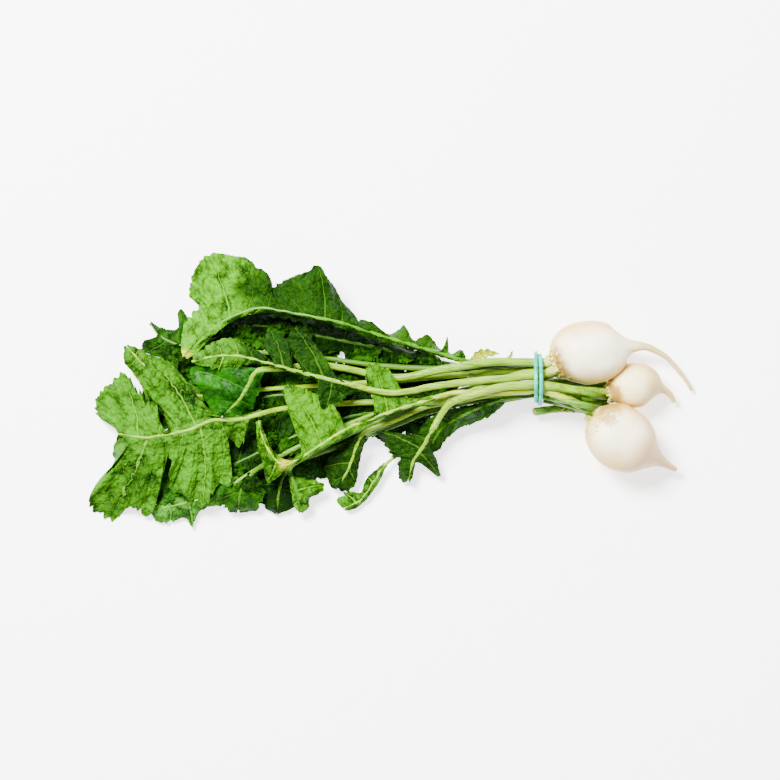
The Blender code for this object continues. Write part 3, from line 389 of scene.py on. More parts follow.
# From the lowest in the pile to the highest
LEAVES: tuple[Leaf, ...] = (
    Leaf("torn_stem", 3, -13.6, 3.0, ((147.5, -13.4), (128.0, -12.8), (107.5, -15.4))),
    Leaf("leaf_under_top", 1, 19.5, 2.5,
         ((81, 19), (51, 19), (21, 25), (-9, 32), (-39, 38), (-69, 44), (-98, 49), (-122, 45), (-147, 33)),
         ((0, 34, 19), (.06, 24, 8), (.11, 14, 17), (.2, -4, 6), (.26, -12, 20), (.36, -34, 14),
          (.42, -38, 30), (.5, -60, 24), (.58, -68, 32), (.66, -86, 24), (.74, -98, 30),
          (.82, -112, 20), (.9, -130, 26), (1, -147, 32)),
         ((0, 34, 25), (.06, 27, 34), (.12, 12, 29), (.24, -9, 40), (.36, -30, 50), (.48, -53, 53),
          (.58, -71, 56), (.7, -98, 60), (.8, -116, 56), (.9, -134, 48), (1, -148, 34)),
         # Painted shade: a wide patch darkens this whole deep blade, and its dark leaflets fill gaps where
         # the pile lies in shade.
         step=2.0, ruffle=0.5, curls=24, patches=(Patch((-60, 0), 400, 0.85),),
         leaflets=(Leaflet((-64, 61), (-106, 62), 16, 0.6, 1.0), Leaflet((-2, 37), (22, 28), 11, 1.0, 0.9),
                   Leaflet((-92, 24), (-116, 18), 15, 1.0, 0.9),
                   Leaflet((-58, 52), (-94, 57), 13, 1.5, 0.6),
                   Leaflet((-76, 16), (-104, 12), 17, 2.0, 0.6),
                   Leaflet((-147, 5), (-163, 20), 14, 1.0, 0.6),
                   Leaflet((-134, -14), (-158, 8), 15, 1.0, 0.6))),
    Leaf("leaf_under_middle", 1, 13.3, 2.5,
         ((81, 11), (43, 5), (6, 1), (-32, -1), (-69, -2), (-98, -5), (-130, -16)),
         ((0, -16, -4), (.12, -38, -22), (.26, -50, -10), (.4, -74, -32), (.54, -82, -14),
          (.7, -108, -36), (.84, -116, -22), (1, -130, -18)),
         ((0, -16, 3), (.14, -40, 22), (.28, -52, 8), (.42, -78, 30), (.56, -88, 10),
          (.72, -114, 22), (.86, -122, 0), (1, -131, -14)),
         # Painted shade: a wide patch darkens this whole deep blade, and many of its dark leaflets fill
         # gaps where the pile lies in shade.
         step=2.0, ruffle=0.5, curls=22, patches=(Patch((-60, 0), 400, 0.85),),
         leaflets=(Leaflet((-100, -10), (-90, -40), 15, 1.5, 0.7),
                   Leaflet((-128, -26), (-112, -48), 15, 1.0, 0.7),
                   Leaflet((-108, -56), (-92, -76), 13, 1.0, 0.7),
                   Leaflet((-164, -18), (-184, -32), 15, 1.0, 0.8),
                   Leaflet((-86, -18), (-98, -34), 13, 2.0), Leaflet((-104, -22), (-96, -42), 12, 2.0),
                   Leaflet((-66, -22), (-84, -34), 12, 2.5, -0.6),
                   Leaflet((-58, 30), (-64, 8), 13, 2.5, -0.2),
                   Leaflet((-50, 12), (-40, 30), 12, 2.5, 0.2),
                   Leaflet((-30, -2), (-46, 10), 12, 2.0, -0.3),
                   Leaflet((-12, 5), (-34, 12), 13, 1.5, 0.4), Leaflet((-80, 6), (-104, 14), 14, 1.0, 0.8),
                   Leaflet((-84, -22), (-108, -36), 15, 1.0, 0.9),
                   Leaflet((-70, -60), (-60, -78), 14, 1.0, 0.7),
                   Leaflet((-2, 3), (24, 8), 11, 1.0, 0.8), Leaflet((20, 2), (47, 7), 9, 1.0, 0.8),
                   Leaflet((2, -9), (24, -3), 11, 1.0, 0.6), Leaflet((-16, 10), (6, 4), 12, 1.0, 0.6),
                   Leaflet((2, -25), (22, -35), 13, 1.0, 0.8),
                   Leaflet((-46, -57), (-68, -70), 14, 1.0, 0.7),
                   Leaflet((-66, -58), (-46, -66), 12, 0.6, 0.8),
                   Leaflet((-100, -70), (-94, -86), 12, 0.6, 0.7),
                   Leaflet((-144, 2), (-164, 18), 14, 0.6, 1.0),
                   Leaflet((-124, -14), (-144, -20), 12, 0.6, 1.0),
                   Leaflet((-82, 24), (-104, 27), 12, 0.6, 0.9),
                   Leaflet((-14, 13), (-36, 11), 12, 0.6, 0.9),
                   Leaflet((6, 7), (34, 7.5), 12, 0.4, 0.9), Leaflet((28, 6), (54, 7), 9, 0.4, 0.9),
                   Leaflet((33, 9), (47, 9.5), 9, 0.3, 1.0), Leaflet((45, 9.5), (60, 9.5), 8, 0.3, 1.0),
                   Leaflet((58, 9.5), (74, 9.5), 8, 0.3, 1.0), Leaflet((5, 5), (18, 5), 10, 0.3, 1.0),
                   Leaflet((16, 5), (30, 5.5), 10, 0.3, 1.0), Leaflet((39, 15), (54, 15), 7, 0.3, 1.0),
                   Leaflet((52, 15), (68, 15), 7, 0.3, 1.0), Leaflet((18, -3), (30, -3), 10, 0.3, 1.0))),
    Leaf("leaf_under_low", 3, 1.0, 2.5,
         ((81, -1), (51, -7), (21, -12), (-9, -15), (-39, -21), (-69, -32), (-98, -45), (-122, -56),
          (-148, -64)),
         ((0, 48, -9), (.05, 42, -22), (.1, 30, -20), (.15, 22, -36), (.22, 10, -30), (.3, -2, -40),
          (.36, -18, -36), (.42, -30, -54), (.48, -44, -50), (.54, -54, -66), (.6, -68, -60),
          (.68, -82, -72), (.76, -100, -66), (.84, -116, -80), (.92, -134, -74), (1, -148, -66)),
         ((0, 48, -3), (.08, 36, 2), (.16, 22, -5), (.24, 8, 3), (.32, -8, -6), (.4, -24, 0),
          (.48, -40, -12), (.56, -54, -4), (.64, -70, -16), (.72, -86, -18), (.78, -98, -36),
          (.84, -112, -30), (.9, -126, -48), (.96, -140, -50), (1, -148, -62)),
         # Painted shade: a wide patch darkens this whole deep blade.
         step=2.0, ruffle=0.5, curls=18, patches=(Patch((-60, 0), 400, 0.7),),
         leaflets=(Leaflet((-178, -64), (-172, -86), 12, 1.0, 0.5),)),
    Leaf("leaf_bottom_edge", 2, 2.4, 2.3,
         ((81, 1), (36, -9), (-9, -22), (-47, -38), (-73, -53), (-84, -70), (-87, -92)),
         ((0, -80, -61), (.2, -72, -65), (.4, -69, -76), (.6, -72, -84), (.75, -78, -89), (1, -87, -93)),
         ((0, -83, -59), (.2, -95, -65), (.4, -98, -74), (.6, -96, -82), (.8, -95, -88), (1, -88, -93)),
         ruffle=0.8, curls=1, patches=(Patch((-84, -78), 60, 0.9),)),
    Leaf("leaf_far_top", 1, 21.4, 2.3,
         ((81, 20), (36, 17), (-9, 19), (-54, 25), (-99, 29), (-137, 31), (-159, 34), (-174, 41),
          (-182, 51)),
         ((0, -132, 28), (.2, -141, 19), (.4, -155, 19), (.55, -170, 23), (.66, -183, 28),
          (.74, -188, 34), (.8, -185, 39), (.88, -174, 36), (.94, -174, 42), (1, -183, 51)),
         ((0, -132, 34), (.2, -141, 40), (.34, -152, 52), (.44, -158, 61), (.5, -162, 58),
          (.6, -161, 49), (.75, -165, 46), (.88, -174, 48), (1, -182, 52)),
         ruffle=0.9, curls=3,
         leaflets=(Leaflet((-146, 6), (-166, 24), 15, 2.0), Leaflet((-140, 24), (-158, 12), 13, 2.0))),
    Leaf("leaf_silver", 2, 4.8, 2.5,
         ((81, 5), (36, -4), (-9, -16), (-54, -34), (-92, -53), (-120, -70), (-141, -80),
          (-164, -86), (-182, -89)),
         ((0, -114, -70), (.16, -120, -83), (.3, -128, -86), (.42, -138, -87), (.52, -147, -94),
          (.6, -151, -103), (.68, -156, -96), (.8, -167, -99), (.9, -177, -98), (1, -183, -91)),
         ((0, -116, -64), (.2, -128, -65), (.4, -141, -70), (.6, -156, -76), (.8, -170, -80),
          (1, -182, -88)),
         look=Look.SILVER, ruffle=1.2, step=1.2, ribs=13,
         leaflets=(Leaflet((-172, -50), (-166, -84), 17, 1.5, 0.8),
                   Leaflet((-122, -64), (-140, -80), 14, 1.5, 0.8),
                   Leaflet((-156, -64), (-172, -84), 13, 1.0, 0.9),
                   Leaflet((-168, -74), (-182, -85), 11, 0.6, 0.6))),
    Leaf("leaf_lower_mid", 3, -2.0, 2.3,
         ((81, -4), (36, -13), (-2, -27), (-39, -41), (-69, -51), (-96, -56), (-107, -64),
          (-114, -76), (-116, -89)),
         ((0, -102, -62), (.2, -98, -70), (.4, -95, -77), (.6, -99, -85), (.8, -102, -91),
          (1, -115, -92)),
         ((0, -108, -61), (.2, -117, -70), (.4, -125, -76), (.6, -129, -83), (.8, -123, -90),
          (1, -117, -92)),
         ruffle=1.0, curls=2,
         patches=(Patch((-110, -82), 12, -0.6),)),
    Leaf("leaf_small_tip", 3, -4.2, 1.8,
         ((96, -5), (81, -8), (58, -15), (34, -29), (12, -43), (-5, -55), (-14, -68), (-24, -82),
          (-36, -88)),
         ((0, -6, -54), (.25, -14, -60), (.4, -20, -66), (.55, -24, -76), (.75, -34, -75),
          (.9, -41, -82), (1, -38, -88)),
         ((0, -4, -56), (.3, -10, -68), (.6, -21, -83), (.8, -29, -89), (1, -36, -90)),
         look=Look.GREEN, ruffle=0.6),
    Leaf("leaf_pale_low", 1, 10.2, 2.3,
         ((81, 7), (36, -4), (6, -16), (-32, -32), (-66, -50), (-77, -59), (-73, -71), (-69, -91)),
         ((0, -73, -64), (.2, -60, -67), (.36, -52, -70), (.5, -53, -76), (.66, -62, -81),
          (.82, -63, -88), (1, -68, -92)),
         ((0, -78, -65), (.2, -77, -71), (.4, -76, -77), (.6, -75, -83), (.8, -74, -88), (1, -70, -92)),
         look=Look.BRIGHT, ruffle=1.0),
    Leaf("leaf_right_edge", 3, -4.0, 2.0,
         ((96, -4), (81, -7), (62, -14), (41, -25), (33, -34), (27, -46)),
         ((0, 84, -10), (.15, 72, -19), (.3, 61, -25), (.44, 48, -30), (.58, 40, -37), (.72, 36, -42),
          (.86, 31, -46), (1, 26, -46)),
         ((0, 84, -5), (.2, 69, -8), (.4, 48, -12), (.6, 31, -17), (.8, 22, -30), (1, 24, -43)),
         ruffle=0.8, curls=1),
    Leaf("leaf_far_left", 1, 16.4, 2.3,
         ((81, 15), (36, 11), (-9, 7), (-54, 4), (-99, 1), (-137, -4), (-165, 2), (-184, 17), (-200, 34)),
         ((0, -140, -7), (.15, -148, -18), (.3, -160, -30), (.42, -170, -18), (.52, -180, -14),
          (.6, -186, -2), (.7, -191, 8), (.8, -197, 16), (.9, -202, 22), (1, -202, 34)),
         ((0, -140, -1), (.2, -153, 7), (.4, -167, 16), (.55, -174, 22), (.7, -182, 26),
          (.84, -189, 31), (1, -199, 35)),
         look=Look.GREEN, ruffle=0.8,
         leaflets=(Leaflet((-160, -12), (-182, -34), 19, 1.5, 1.0),
                   Leaflet((-134, -10), (-120, -22), 12, 1.0, 1.0),
                   Leaflet((-178, 18), (-160, 28), 12, 1.0, 0.8),
                   Leaflet((-174, 14), (-191, -8), 14, 0.8, 1.0))),
    Leaf("leaf_hanging", 3, 1.4, 2.3,
         ((81, -1), (51, -7), (25, -12), (2, -22), (-19, -30), (-26, -39), (-32, -56), (-41, -73)),
         ((0, -19, -34), (.2, -23, -46), (.4, -26, -59), (.6, -27, -68), (.8, -32, -75), (1, -39, -76)),
         ((0, -24, -31), (.15, -33, -38), (.3, -42, -44), (.45, -48, -53), (.6, -50, -61),
          (.75, -47, -70), (.88, -45, -73), (1, -42, -74)),
         look=Look.GREEN, ruffle=0.8, patches=(Patch((-36, -52), 60, 1.0),)),
    Leaf("leaf_top", 1, 22.4, 2.6,
         ((81, 22), (58, 22), (47, 25), (6, 37), (-17, 44), (-39, 51), (-68, 57), (-84, 60), (-99, 62),
          (-114, 58), (-130, 50), (-141, 40), (-156, 26)),
         ((0, 55, 20), (.3, -9, 38), (.5, -56, 52), (.6, -81, 58), (.68, -101, 58), (.76, -116, 54),
          (.84, -128, 46), (.92, -138, 37), (.97, -146, 28), (1, -154, 24)),
         ((0, 55, 26), (.03, 51, 31), (.06, 43, 28), (.08, 41, 40), (.1, 36, 31), (.13, 27, 43),
          (.16, 16, 38), (.2, 9, 48), (.24, -3, 43), (.28, -18, 53), (.33, -32, 52), (.36, -27, 56),
          (.39, -37, 66), (.42, -42, 76), (.45, -50, 88), (.48, -55, 95), (.51, -69, 87),
          (.54, -86, 81), (.57, -93, 73), (.6, -84, 63), (.64, -90, 73), (.67, -90, 82),
          (.7, -94, 90), (.73, -102, 95), (.76, -111, 102), (.8, -138, 102), (.83, -149, 88),
          (.86, -152, 70), (.885, -141, 68), (.91, -150, 60), (.94, -157, 50), (.97, -159, 34),
          (1, -157, 25)),
         look=Look.BRIGHT, ruffle=2.8, step=1.2, ribs=18, veins=14.0,
         creases=(Crease((-133, 83), (-96, 70), 3.0, 3.0),),
         # The small patch on the crease is painted shade in the fold's valley; the large dark patches are
         # partly the lobes' own darker green and partly painted shade.
         patches=(Patch((-66, 77), 34, 2.4), Patch((-26, 52), 24, 1.3), Patch((20, 40), 25, 0.9),
                  Patch((-112, 76), 9, 0.7), Patch((-156, 26), 5, 0.0, 1.6), Patch((-134, 90), 22, -0.3)),
         leaflets=(Leaflet((58, 22.5), (80, 28), 7, 0.8, 0.6, 0.8),
                   Leaflet((83, 21), (90, 30), 3, 0.8, 0.6, 0.8))),
    Leaf("leaf_glossy", 1, 21.5, 3.1,
         ((81, 22), (66, 21), (36, 16), (3, 10), (-36, 17), (-58, 20), (-81, 17), (-101, 15),
          (-108, 4), (-116, -8), (-128, -18)),
         ((0, -99, 17), (.15, -116, 19), (.3, -134, 22), (.42, -150, 17), (.54, -148, 7),
          (.66, -142, -1), (.78, -139, -10), (.9, -134, -18), (1, -129, -20)),
         ((0, -96, 14), (.2, -99, 8), (.35, -98, 0), (.5, -102, -8), (.65, -105, -14),
          (.8, -114, -20), (.92, -122, -20), (1, -127, -20)),
         look=Look.GLOSSY, ruffle=1.4, step=1.2, ribs=14,
         patches=(Patch((-142, 8), 9, -0.5), Patch((-112, 0), 16, 0.7))),
    Leaf("leaf_wide", 1, 13.6, 2.7,
         ((81, 8), (58, -1), (43, -7), (6, -8), (-32, -9), (-81, -13), (-114, -21), (-135, -22),
          (-152, -29), (-172, -33), (-186, -35), (-206, -32)),
         ((0, -98, -20), (.08, -107, -25), (.14, -114, -41), (.18, -123, -37), (.22, -126, -43),
          (.27, -122, -54), (.32, -121, -70), (.37, -133, -74), (.42, -141, -84), (.47, -155, -82),
          (.52, -168, -67), (.57, -166, -56), (.62, -170, -52), (.67, -174, -70), (.71, -182, -93),
          (.75, -198, -88), (.79, -211, -97), (.83, -227, -85), (.87, -222, -68), (.91, -210, -55),
          (.95, -210, -43), (1, -207, -34)),
         ((0, -98, -14), (.1, -114, -18), (.2, -135, -19), (.27, -144, -10), (.33, -155, 6),
          (.39, -165, 20), (.45, -182, 26), (.5, -187, 14), (.55, -184, 0), (.6, -174, -13),
          (.65, -168, -28), (.7, -174, -25), (.75, -178, -9), (.8, -191, 2), (.85, -201, 15),
          (.89, -213, 8), (.92, -224, -6), (.955, -221, -20), (.98, -210, -26), (1, -207, -31)),
         look=Look.GREEN, ruffle=3.8, tooth=3.6, step=1.2, ribs=20, veins=16.0,
         patches=(Patch((-205, 0), 22, -0.3), Patch((-206, -88), 20, 0.7), Patch((-150, -60), 22, -0.3),
                  Patch((-188, -62), 14, 0.6), Patch((-172, 2), 8, 0.6), Patch((-176, -40), 8, 0.6))),
    Leaf("leaf_centre", 3, -0.3, 2.5,
         ((81, -1), (60, -1), (43, -2), (16, -10), (6, -13), (-19, -22), (-34, -28), (-53, -40),
          (-69, -50), (-81, -55), (-90, -48), (-97, -35), (-100, -22)),
         ((0, 36, -6), (.2, 4, -16), (.4, -30, -31), (.6, -66, -51), (.68, -78, -58), (.74, -87, -65),
          (.8, -94, -68), (.86, -97, -56), (.92, -101, -43), (1, -102, -23)),
         ((0, 36, -2), (.06, 21, -6), (.1, 9, -8), (.14, 6, 2), (.18, 1, 10), (.22, -6, 17),
          (.26, -18, 18), (.3, -19, 5), (.34, -10, -14), (.38, -20, -20), (.42, -38, -28),
          (.46, -41, -15), (.5, -51, -6), (.54, -67, 2), (.58, -81, 4), (.61, -79, -13),
          (.64, -73, -28), (.67, -69, -46), (.72, -81, -51), (.8, -90, -44), (.9, -95, -34),
          (1, -99, -22)),
         look=Look.YELLOW, ruffle=1.8, step=1.2, ribs=16, veins=13.0,
         patches=(Patch((-80, -54), 6, 0.0, 1.0), Patch((-62, -8), 14, -0.4), Patch((-4, 8), 16, 0.35))),
    Leaf("leaf_lobed", 1, 11.0, 2.9,
         ((81, 9), (66, 8), (28, 3), (14, 0), (-6, -1), (-36, 6), (-69, 14), (-94, 21), (-114, 26),
          (-133, 26), (-150, 22)),
         ((0, -30, 2), (.06, -36, -5), (.12, -50, -14), (.18, -56, -4), (.24, -57, 7), (.34, -71, 12),
          (.5, -93, 19), (.6, -107, 20), (.7, -117, 18), (.8, -130, 16), (.9, -142, 18), (1, -150, 21)),
         ((0, -30, 8), (.05, -44, 10), (.09, -47, 19), (.13, -57, 34), (.17, -71, 47), (.21, -78, 38),
          (.26, -75, 28), (.31, -68, 16), (.35, -76, 22), (.39, -78, 38), (.43, -92, 46),
          (.46, -97, 35), (.5, -89, 23), (.55, -99, 29), (.62, -110, 35), (.69, -117, 40),
          (.76, -126, 40), (.85, -137, 34), (.93, -147, 27), (1, -150, 22)),
         look=Look.GREEN, ruffle=1.5, step=1.2, ribs=14,
         patches=(Patch((-92, 34), 20, 1.8), Patch((-46, -3), 20, 1.6), Patch((-66, 27), 20, 0.9))),
    Leaf("leaf_curled", 2, 4.3, 3.2,
         ((81, 3), (62, -2), (45, -8), (36, -18), (24, -40), (16, -52), (12, -67)),
         ((0, 33, -29), (.2, 28, -40), (.35, 34, -53), (.48, 36, -66), (.6, 27, -59), (.75, 18, -53),
          (.9, 16, -62), (1, 13, -70)),
         ((0, 27, -28), (.15, 15, -32), (.3, 2, -31), (.42, -12, -30), (.5, -6, -41), (.6, 1, -50),
          (.7, 7, -46), (.8, 3, -56), (.9, 6, -68), (1, 10, -69)),
         look=Look.GREEN, ruffle=1.3, step=1.2, ribs=14, patches=(Patch((14, -48), 70, 1.0),)),
)

# Where the leaf stems end in plan on each root, their heading across the crown and the middle slot
CROWNS = {
    1: ((120.8, 18.8), (-0.40, 0.86), 16.5),
    2: ((159.0, -4.0), (0.0, 1.4), 4.0),
    3: ((151.0, -13.3), (0.50, 0.72), 1.0),
}

ROOTS = (
    RootShape("root_1", "root_skin",
              ((121.6, 19.2, 24.0), (133.3, 25.0, 23.8), (145.1, 28.6, 23.4), (158.0, 29.8, 23.2),
               (168.0, 31.0, 22.8), (177.0, 33.2, 22.0), (189.0, 33.4, 19.5), (197.6, 30.2, 16.5),
               (206.2, 25.0, 13.0), (214.4, 16.2, 9.5), (220.6, 8.2, 6.5), (225.2, 0.6, 4.2)),
              ((0.0, 6.0), (0.5, 10.2), (3.0, 13.8), (8.5, 19.0), (16.5, 22.9), (24.0, 23.8),
               (33.0, 23.5), (41.0, 21.6), (47.0, 18.2), (51.5, 13.4), (54.5, 9.2), (58.0, 5.8),
               (62.5, 4.2), (72.0, 2.8), (92.0, 1.9), (122.0, 1.3)),
              0.012, (0.95, 0.87, 0.62), (0.62, 0.41, 0.08), (0.50, 0.37, 0.12), (130.0, 1.0, 7.0)),
    RootShape("root_2", "root_skin_cream",
              ((162.6, -1.5, 16.3), (172.2, 2.1, 16.1), (182.8, 4.3, 15.8), (193.0, 4.1, 15.3),
               (201.0, 1.9, 14.0), (205.4, 0.0, 12.0), (209.2, -3.4, 9.8), (211.8, -8.0, 7.4)),
              ((0.0, 3.6), (0.5, 6.4), (3.0, 9.7), (8.5, 14.2), (15.5, 16.6), (22.0, 16.8),
               (29.0, 15.1), (35.0, 10.8), (39.5, 5.8), (43.0, 3.1), (48.0, 2.3), (57.5, 1.6)),
              0.015, (0.93, 0.80, 0.42), (0.60, 0.36, 0.08), (0.50, 0.34, 0.11), (161.5, -4.0, 8.0)),
    RootShape("root_3", "root_skin",
              ((151.0, -17.4, 23.6), (160.2, -26.0, 23.4), (170.0, -34.4, 23.2), (185.2, -43.9, 21.6),
               (199.2, -51.4, 18.0), (206.6, -55.6, 14.5), (213.0, -59.0, 10.5)),
              ((0.0, 4.4), (0.5, 8.2), (3.2, 13.4), (9.0, 19.3), (17.0, 23.0), (26.0, 23.8),
               (35.0, 23.0), (44.0, 19.3), (51.0, 12.6), (57.5, 6.8), (63.5, 3.8), (76.0, 1.6)),
              0.02, (0.95, 0.86, 0.58), (0.64, 0.42, 0.10), (0.50, 0.30, 0.12), (161.0, -15.5, 9.5)),
)


def in_frame(x: float, y: float, z: float) -> Vector:
    """Turn a place in plan into one in the frame.

    Args:
        x: place along the bunch in millimetres.
        y: place across it in millimetres.
        z: height in metres.

    Returns:
        The place in metres.
    """
    return Vector(((x - BOX_MIDDLE[0]) * MM, (y - BOX_MIDDLE[1]) * MM, z))


def lengths(points: np.ndarray) -> np.ndarray:
    """Return the distance along a line at each of its points."""
    return np.concatenate([[0], np.cumsum(np.linalg.norm(np.diff(points, axis=0), axis=1))])


def columns_at(marks: np.ndarray, along: np.ndarray, table: np.ndarray) -> np.ndarray:
    """Read a table between its rows.

    Args:
        marks: distances at which rows are wanted.
        along: distances of the table's own rows.
        table: the rows.

    Returns:
        A row for each mark.
    """
    return np.stack([np.interp(marks, along, column) for column in table.T], axis=1)


def smooth_curve(points: object, step: float) -> np.ndarray:
    """Return points about a step apart along a smooth curve through the given ones.

    Args:
        points: the points to pass through, in any number of dimensions.
        step: distance between the returned points.

    Returns:
        The points as rows.
    """
    pts = np.array(points, float)
    ends = np.vstack([2 * pts[0] - pts[1], pts, 2 * pts[-1] - pts[-2]])
    t = np.linspace(0, 1, CURVE_PARTS, endpoint=False)[:, None]
    parts = []
    for p0, p1, p2, p3 in zip(ends, ends[1:], ends[2:], ends[3:]):
        parts.append(0.5 * (2 * p1 + (p2 - p0) * t + (2 * p0 - 5 * p1 + 4 * p2 - p3) * t ** 2
                            + (3 * p1 - p0 - 3 * p2 + p3) * t ** 3))
    dense = np.vstack(parts + [pts[-1:]])
    along = lengths(dense)
    marks = np.linspace(0, along[-1], max(2, int(round(along[-1] / step)) + 1))
    return columns_at(marks, along, dense)


def ease(value: np.ndarray, low: float, high: float) -> np.ndarray:
    """Return 0 below low, 1 above high and a smooth rise between, for each value."""
    t = np.clip((value - low) / (high - low), 0, 1)
    return t * t * (3 - 2 * t)


def smoothed(grid: np.ndarray, rounds: int) -> np.ndarray:
    """Return a grid averaged along its rows' order a number of times, with its ends kept."""
    for _ in range(rounds):
        padded = np.concatenate([grid[:1], grid, grid[-1:]])
        grid = (padded[:-2] + 2 * padded[1:-1] + padded[2:]) / 4
    return grid


def drift(values: np.ndarray, seed: float, scale: float) -> np.ndarray:
    """Make smooth random numbers along a line.

    Args:
        values: distances along the line.
        seed: a number that makes the result its own.
        scale: distance over which a number changes.

    Returns:
        A number between about -1 and 1 for each distance.
    """
    return np.array([noise.noise(Vector((v / scale, seed, 0.5))) for v in values]) * 2


class Surface:
    """Solids of the frame that finer pieces are laid on or kept under."""

    def __init__(self, *nodes: str) -> None:
        """Gather the faces of the nodes.

        Args:
            nodes: names of the frame's nodes, none of them at all for a surface that is nowhere.
        """
        corners: list[Vector] = []
        faces: list[tuple[int, ...]] = []
        for node in nodes:
            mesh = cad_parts[node].data
            first = len(corners)
            corners += [v.co.copy() for v in mesh.vertices]
            faces += [tuple(first + k for k in p.vertices) for p in mesh.polygons]
        self.tree = BVHTree.FromPolygons(corners, faces) if faces else None

    def top(self, plan: np.ndarray) -> np.ndarray:
        """Find the height of the solids' upper face, or of their nearest edge.

        Args:
            plan: rows of places in plan in millimetres.

        Returns:
            A height in millimetres for each.
        """
        found = np.zeros(len(plan))
        last = FIRST_LEVEL
        for i, (x, y) in enumerate(plan):
            spot = in_frame(x, y, LOOK_DOWN_FROM)
            hit = self.tree.ray_cast(spot, Vector((0, 0, -1)))[0]
            if hit is None:
                hit = self.tree.find_nearest(Vector((spot.x, spot.y, last)))[0]
            last = hit.z
            found[i] = hit.z / MM
        return found

    def height_over(self, x: float, y: float, rising: bool) -> float:
        """Return the solids' first face on the way down or up at a place, in millimetres.

        Args:
            x: place along the bunch.
            y: place across it.
            rising: whether to look up from the floor.

        Returns:
            Its height, or 0 looking down and PILE_LIMIT looking up where there is none.
        """
        spot = in_frame(x, y, LOOK_UP_FROM if rising else LOOK_DOWN_FROM)
        hit = self.tree.ray_cast(spot, Vector((0, 0, 1 if rising else -1)))[0] if self.tree else None
        if hit is None:
            return PILE_LIMIT if rising else 0.0
        return hit.z / MM


class Sheet:
    """A mesh built from grids whose points are put in place by their row and column."""

    def __init__(self) -> None:
        """Start an empty mesh with its float layers."""
        self.bm = bmesh.new()
        self.layers = {name: self.bm.verts.layers.float.new(name) for name in FLOAT_LAYERS}

    def add_grid(self, place: np.ndarray, material: int, **values: np.ndarray) -> list[bmesh.types.BMVert]:
        """Add a grid of faces.

        Args:
            place: rows by columns by 3 array of points in millimetres.
            material: index of the faces' material.
            values: rows by columns arrays for the float layers of the same names.

        Returns:
            The new vertices.
        """
        rows, cols = place.shape[:2]
        made = bmesh.ops.create_grid(self.bm, x_segments=rows - 1, y_segments=cols - 1, size=1.0)["verts"]
        faces = set()
        for vert in made:
            i = round((vert.co.x + 1) / 2 * (rows - 1))
            j = round((vert.co.y + 1) / 2 * (cols - 1))
            x, y, z = (float(part) for part in place[i, j])
            vert.co = in_frame(x, y, z * MM)
            for name, grid in values.items():
                vert[self.layers[name]] = float(grid[i, j])
            faces.update(vert.link_faces)
        for face in faces:
            face.material_index = material
            face.smooth = True
        return made

    def add_slab(self, place: np.ndarray, thickness: float, material: int, **values: np.ndarray) -> None:
        """Add a closed sheet that is thinner towards its margin.

        Args:
            place: rows by columns by 3 array of points of the upper face in millimetres.
            thickness: thickness along the middle in millimetres.
            material: index of the faces' material.
            values: rows by columns arrays for the float layers of the same names.
        """
        facing = np.cross(np.gradient(place, axis=0), np.gradient(place, axis=1))
        size = np.linalg.norm(facing, axis=2)[:, :, None]
        facing = np.where(size > 1e-5, facing / np.maximum(size, 1e-5), np.array([0.0, 0.0, 1.0]))
        facing *= np.where(facing[:, :, 2:] < 0, -1, 1)
        across = np.abs(np.linspace(-1, 1, place.shape[1]))
        lower = place - facing * (thickness * (1 - 0.5 * across ** 4))[None, :, None]
        lower[:, :, 2] = np.maximum(lower[:, :, 2], FLOOR_GAP)
        ring = np.concatenate([place, lower[:, ::-1], place[:, :1]], axis=1)
        grids = {n: np.concatenate([v, v[:, ::-1], v[:, :1]], axis=1) for n, v in values.items()}
        made = self.add_grid(ring, material, **grids)
        bmesh.ops.remove_doubles(self.bm, verts=made, dist=DOUBLES)
        self._close(made, material)

    def _close(self, made: list[bmesh.types.BMVert], material: int) -> None:
        """Close the open ends of a new tube.

        Args:
            made: the tube's vertices, some of them merged since.
            material: index of the new faces' material.
        """
        made = [v for v in made if v.is_valid]
        rims = [e for e in {e for v in made for e in v.link_edges} if len(e.link_faces) == 1]
        for face in bmesh.ops.holes_fill(self.bm, edges=rims, sides=0)["faces"]:
            face.material_index = material

    def add_tube(self, centres: np.ndarray, radii: np.ndarray, shape: "TubeShape", material: int,
                 **values: np.ndarray) -> list[bmesh.types.BMVert]:
        """Add a closed tube along a line.

        Args:
            centres: points of the line in millimetres.
            radii: radius at each of them.
            shape: the tube's cross-section.
            material: index of the faces' material.
            values: one number for each point and float layer.

        Returns:
            The tube's vertices.
        """
        ahead = np.gradient(centres, axis=0)
        ahead /= np.linalg.norm(ahead, axis=1)[:, None]
        aside = np.cross(np.array([0.0, 0.0, 1.0]), ahead)
        aside /= np.linalg.norm(aside, axis=1)[:, None]
        up = np.cross(ahead, aside)
        turns = np.linspace(0, math.tau, shape.sides + 1)
        outline = radii[:, None] * shape.swell(turns)[None, :]
        place = (centres[:, None] + aside[:, None] * (outline * np.cos(turns))[:, :, None]
                 + up[:, None] * (outline * np.sin(turns) * shape.height)[:, :, None])
        grids = {name: np.repeat(v[:, None], len(turns), axis=1) for name, v in values.items()}
        made = self.add_grid(place, material, **grids)
        bmesh.ops.remove_doubles(self.bm, verts=made, dist=DOUBLES)
        self._close(made, material)
        return [v for v in made if v.is_valid]

    def finish(self, name: str, materials: list[bpy.types.Material],
               sharp: float = 60.0) -> bpy.types.Object:
        """Turn the mesh into an object.

        Args:
            name: the object's name.
            materials: its materials in the order of the faces' indices.
            sharp: angle in degrees past which an edge is shaded sharp.

        Returns:
            The object, linked to the scene.
        """
        bmesh.ops.recalc_face_normals(self.bm, faces=self.bm.faces[:])
        mesh = bpy.data.meshes.new(name)
        self.bm.to_mesh(mesh)
        self.bm.free()
        mesh.shade_smooth()
        mesh.set_sharp_from_angle(angle=math.radians(sharp))
        for material in materials:
            mesh.materials.append(material)
        obj = bpy.data.objects.new(name, mesh)
        bpy.context.scene.collection.objects.link(obj)
        return obj


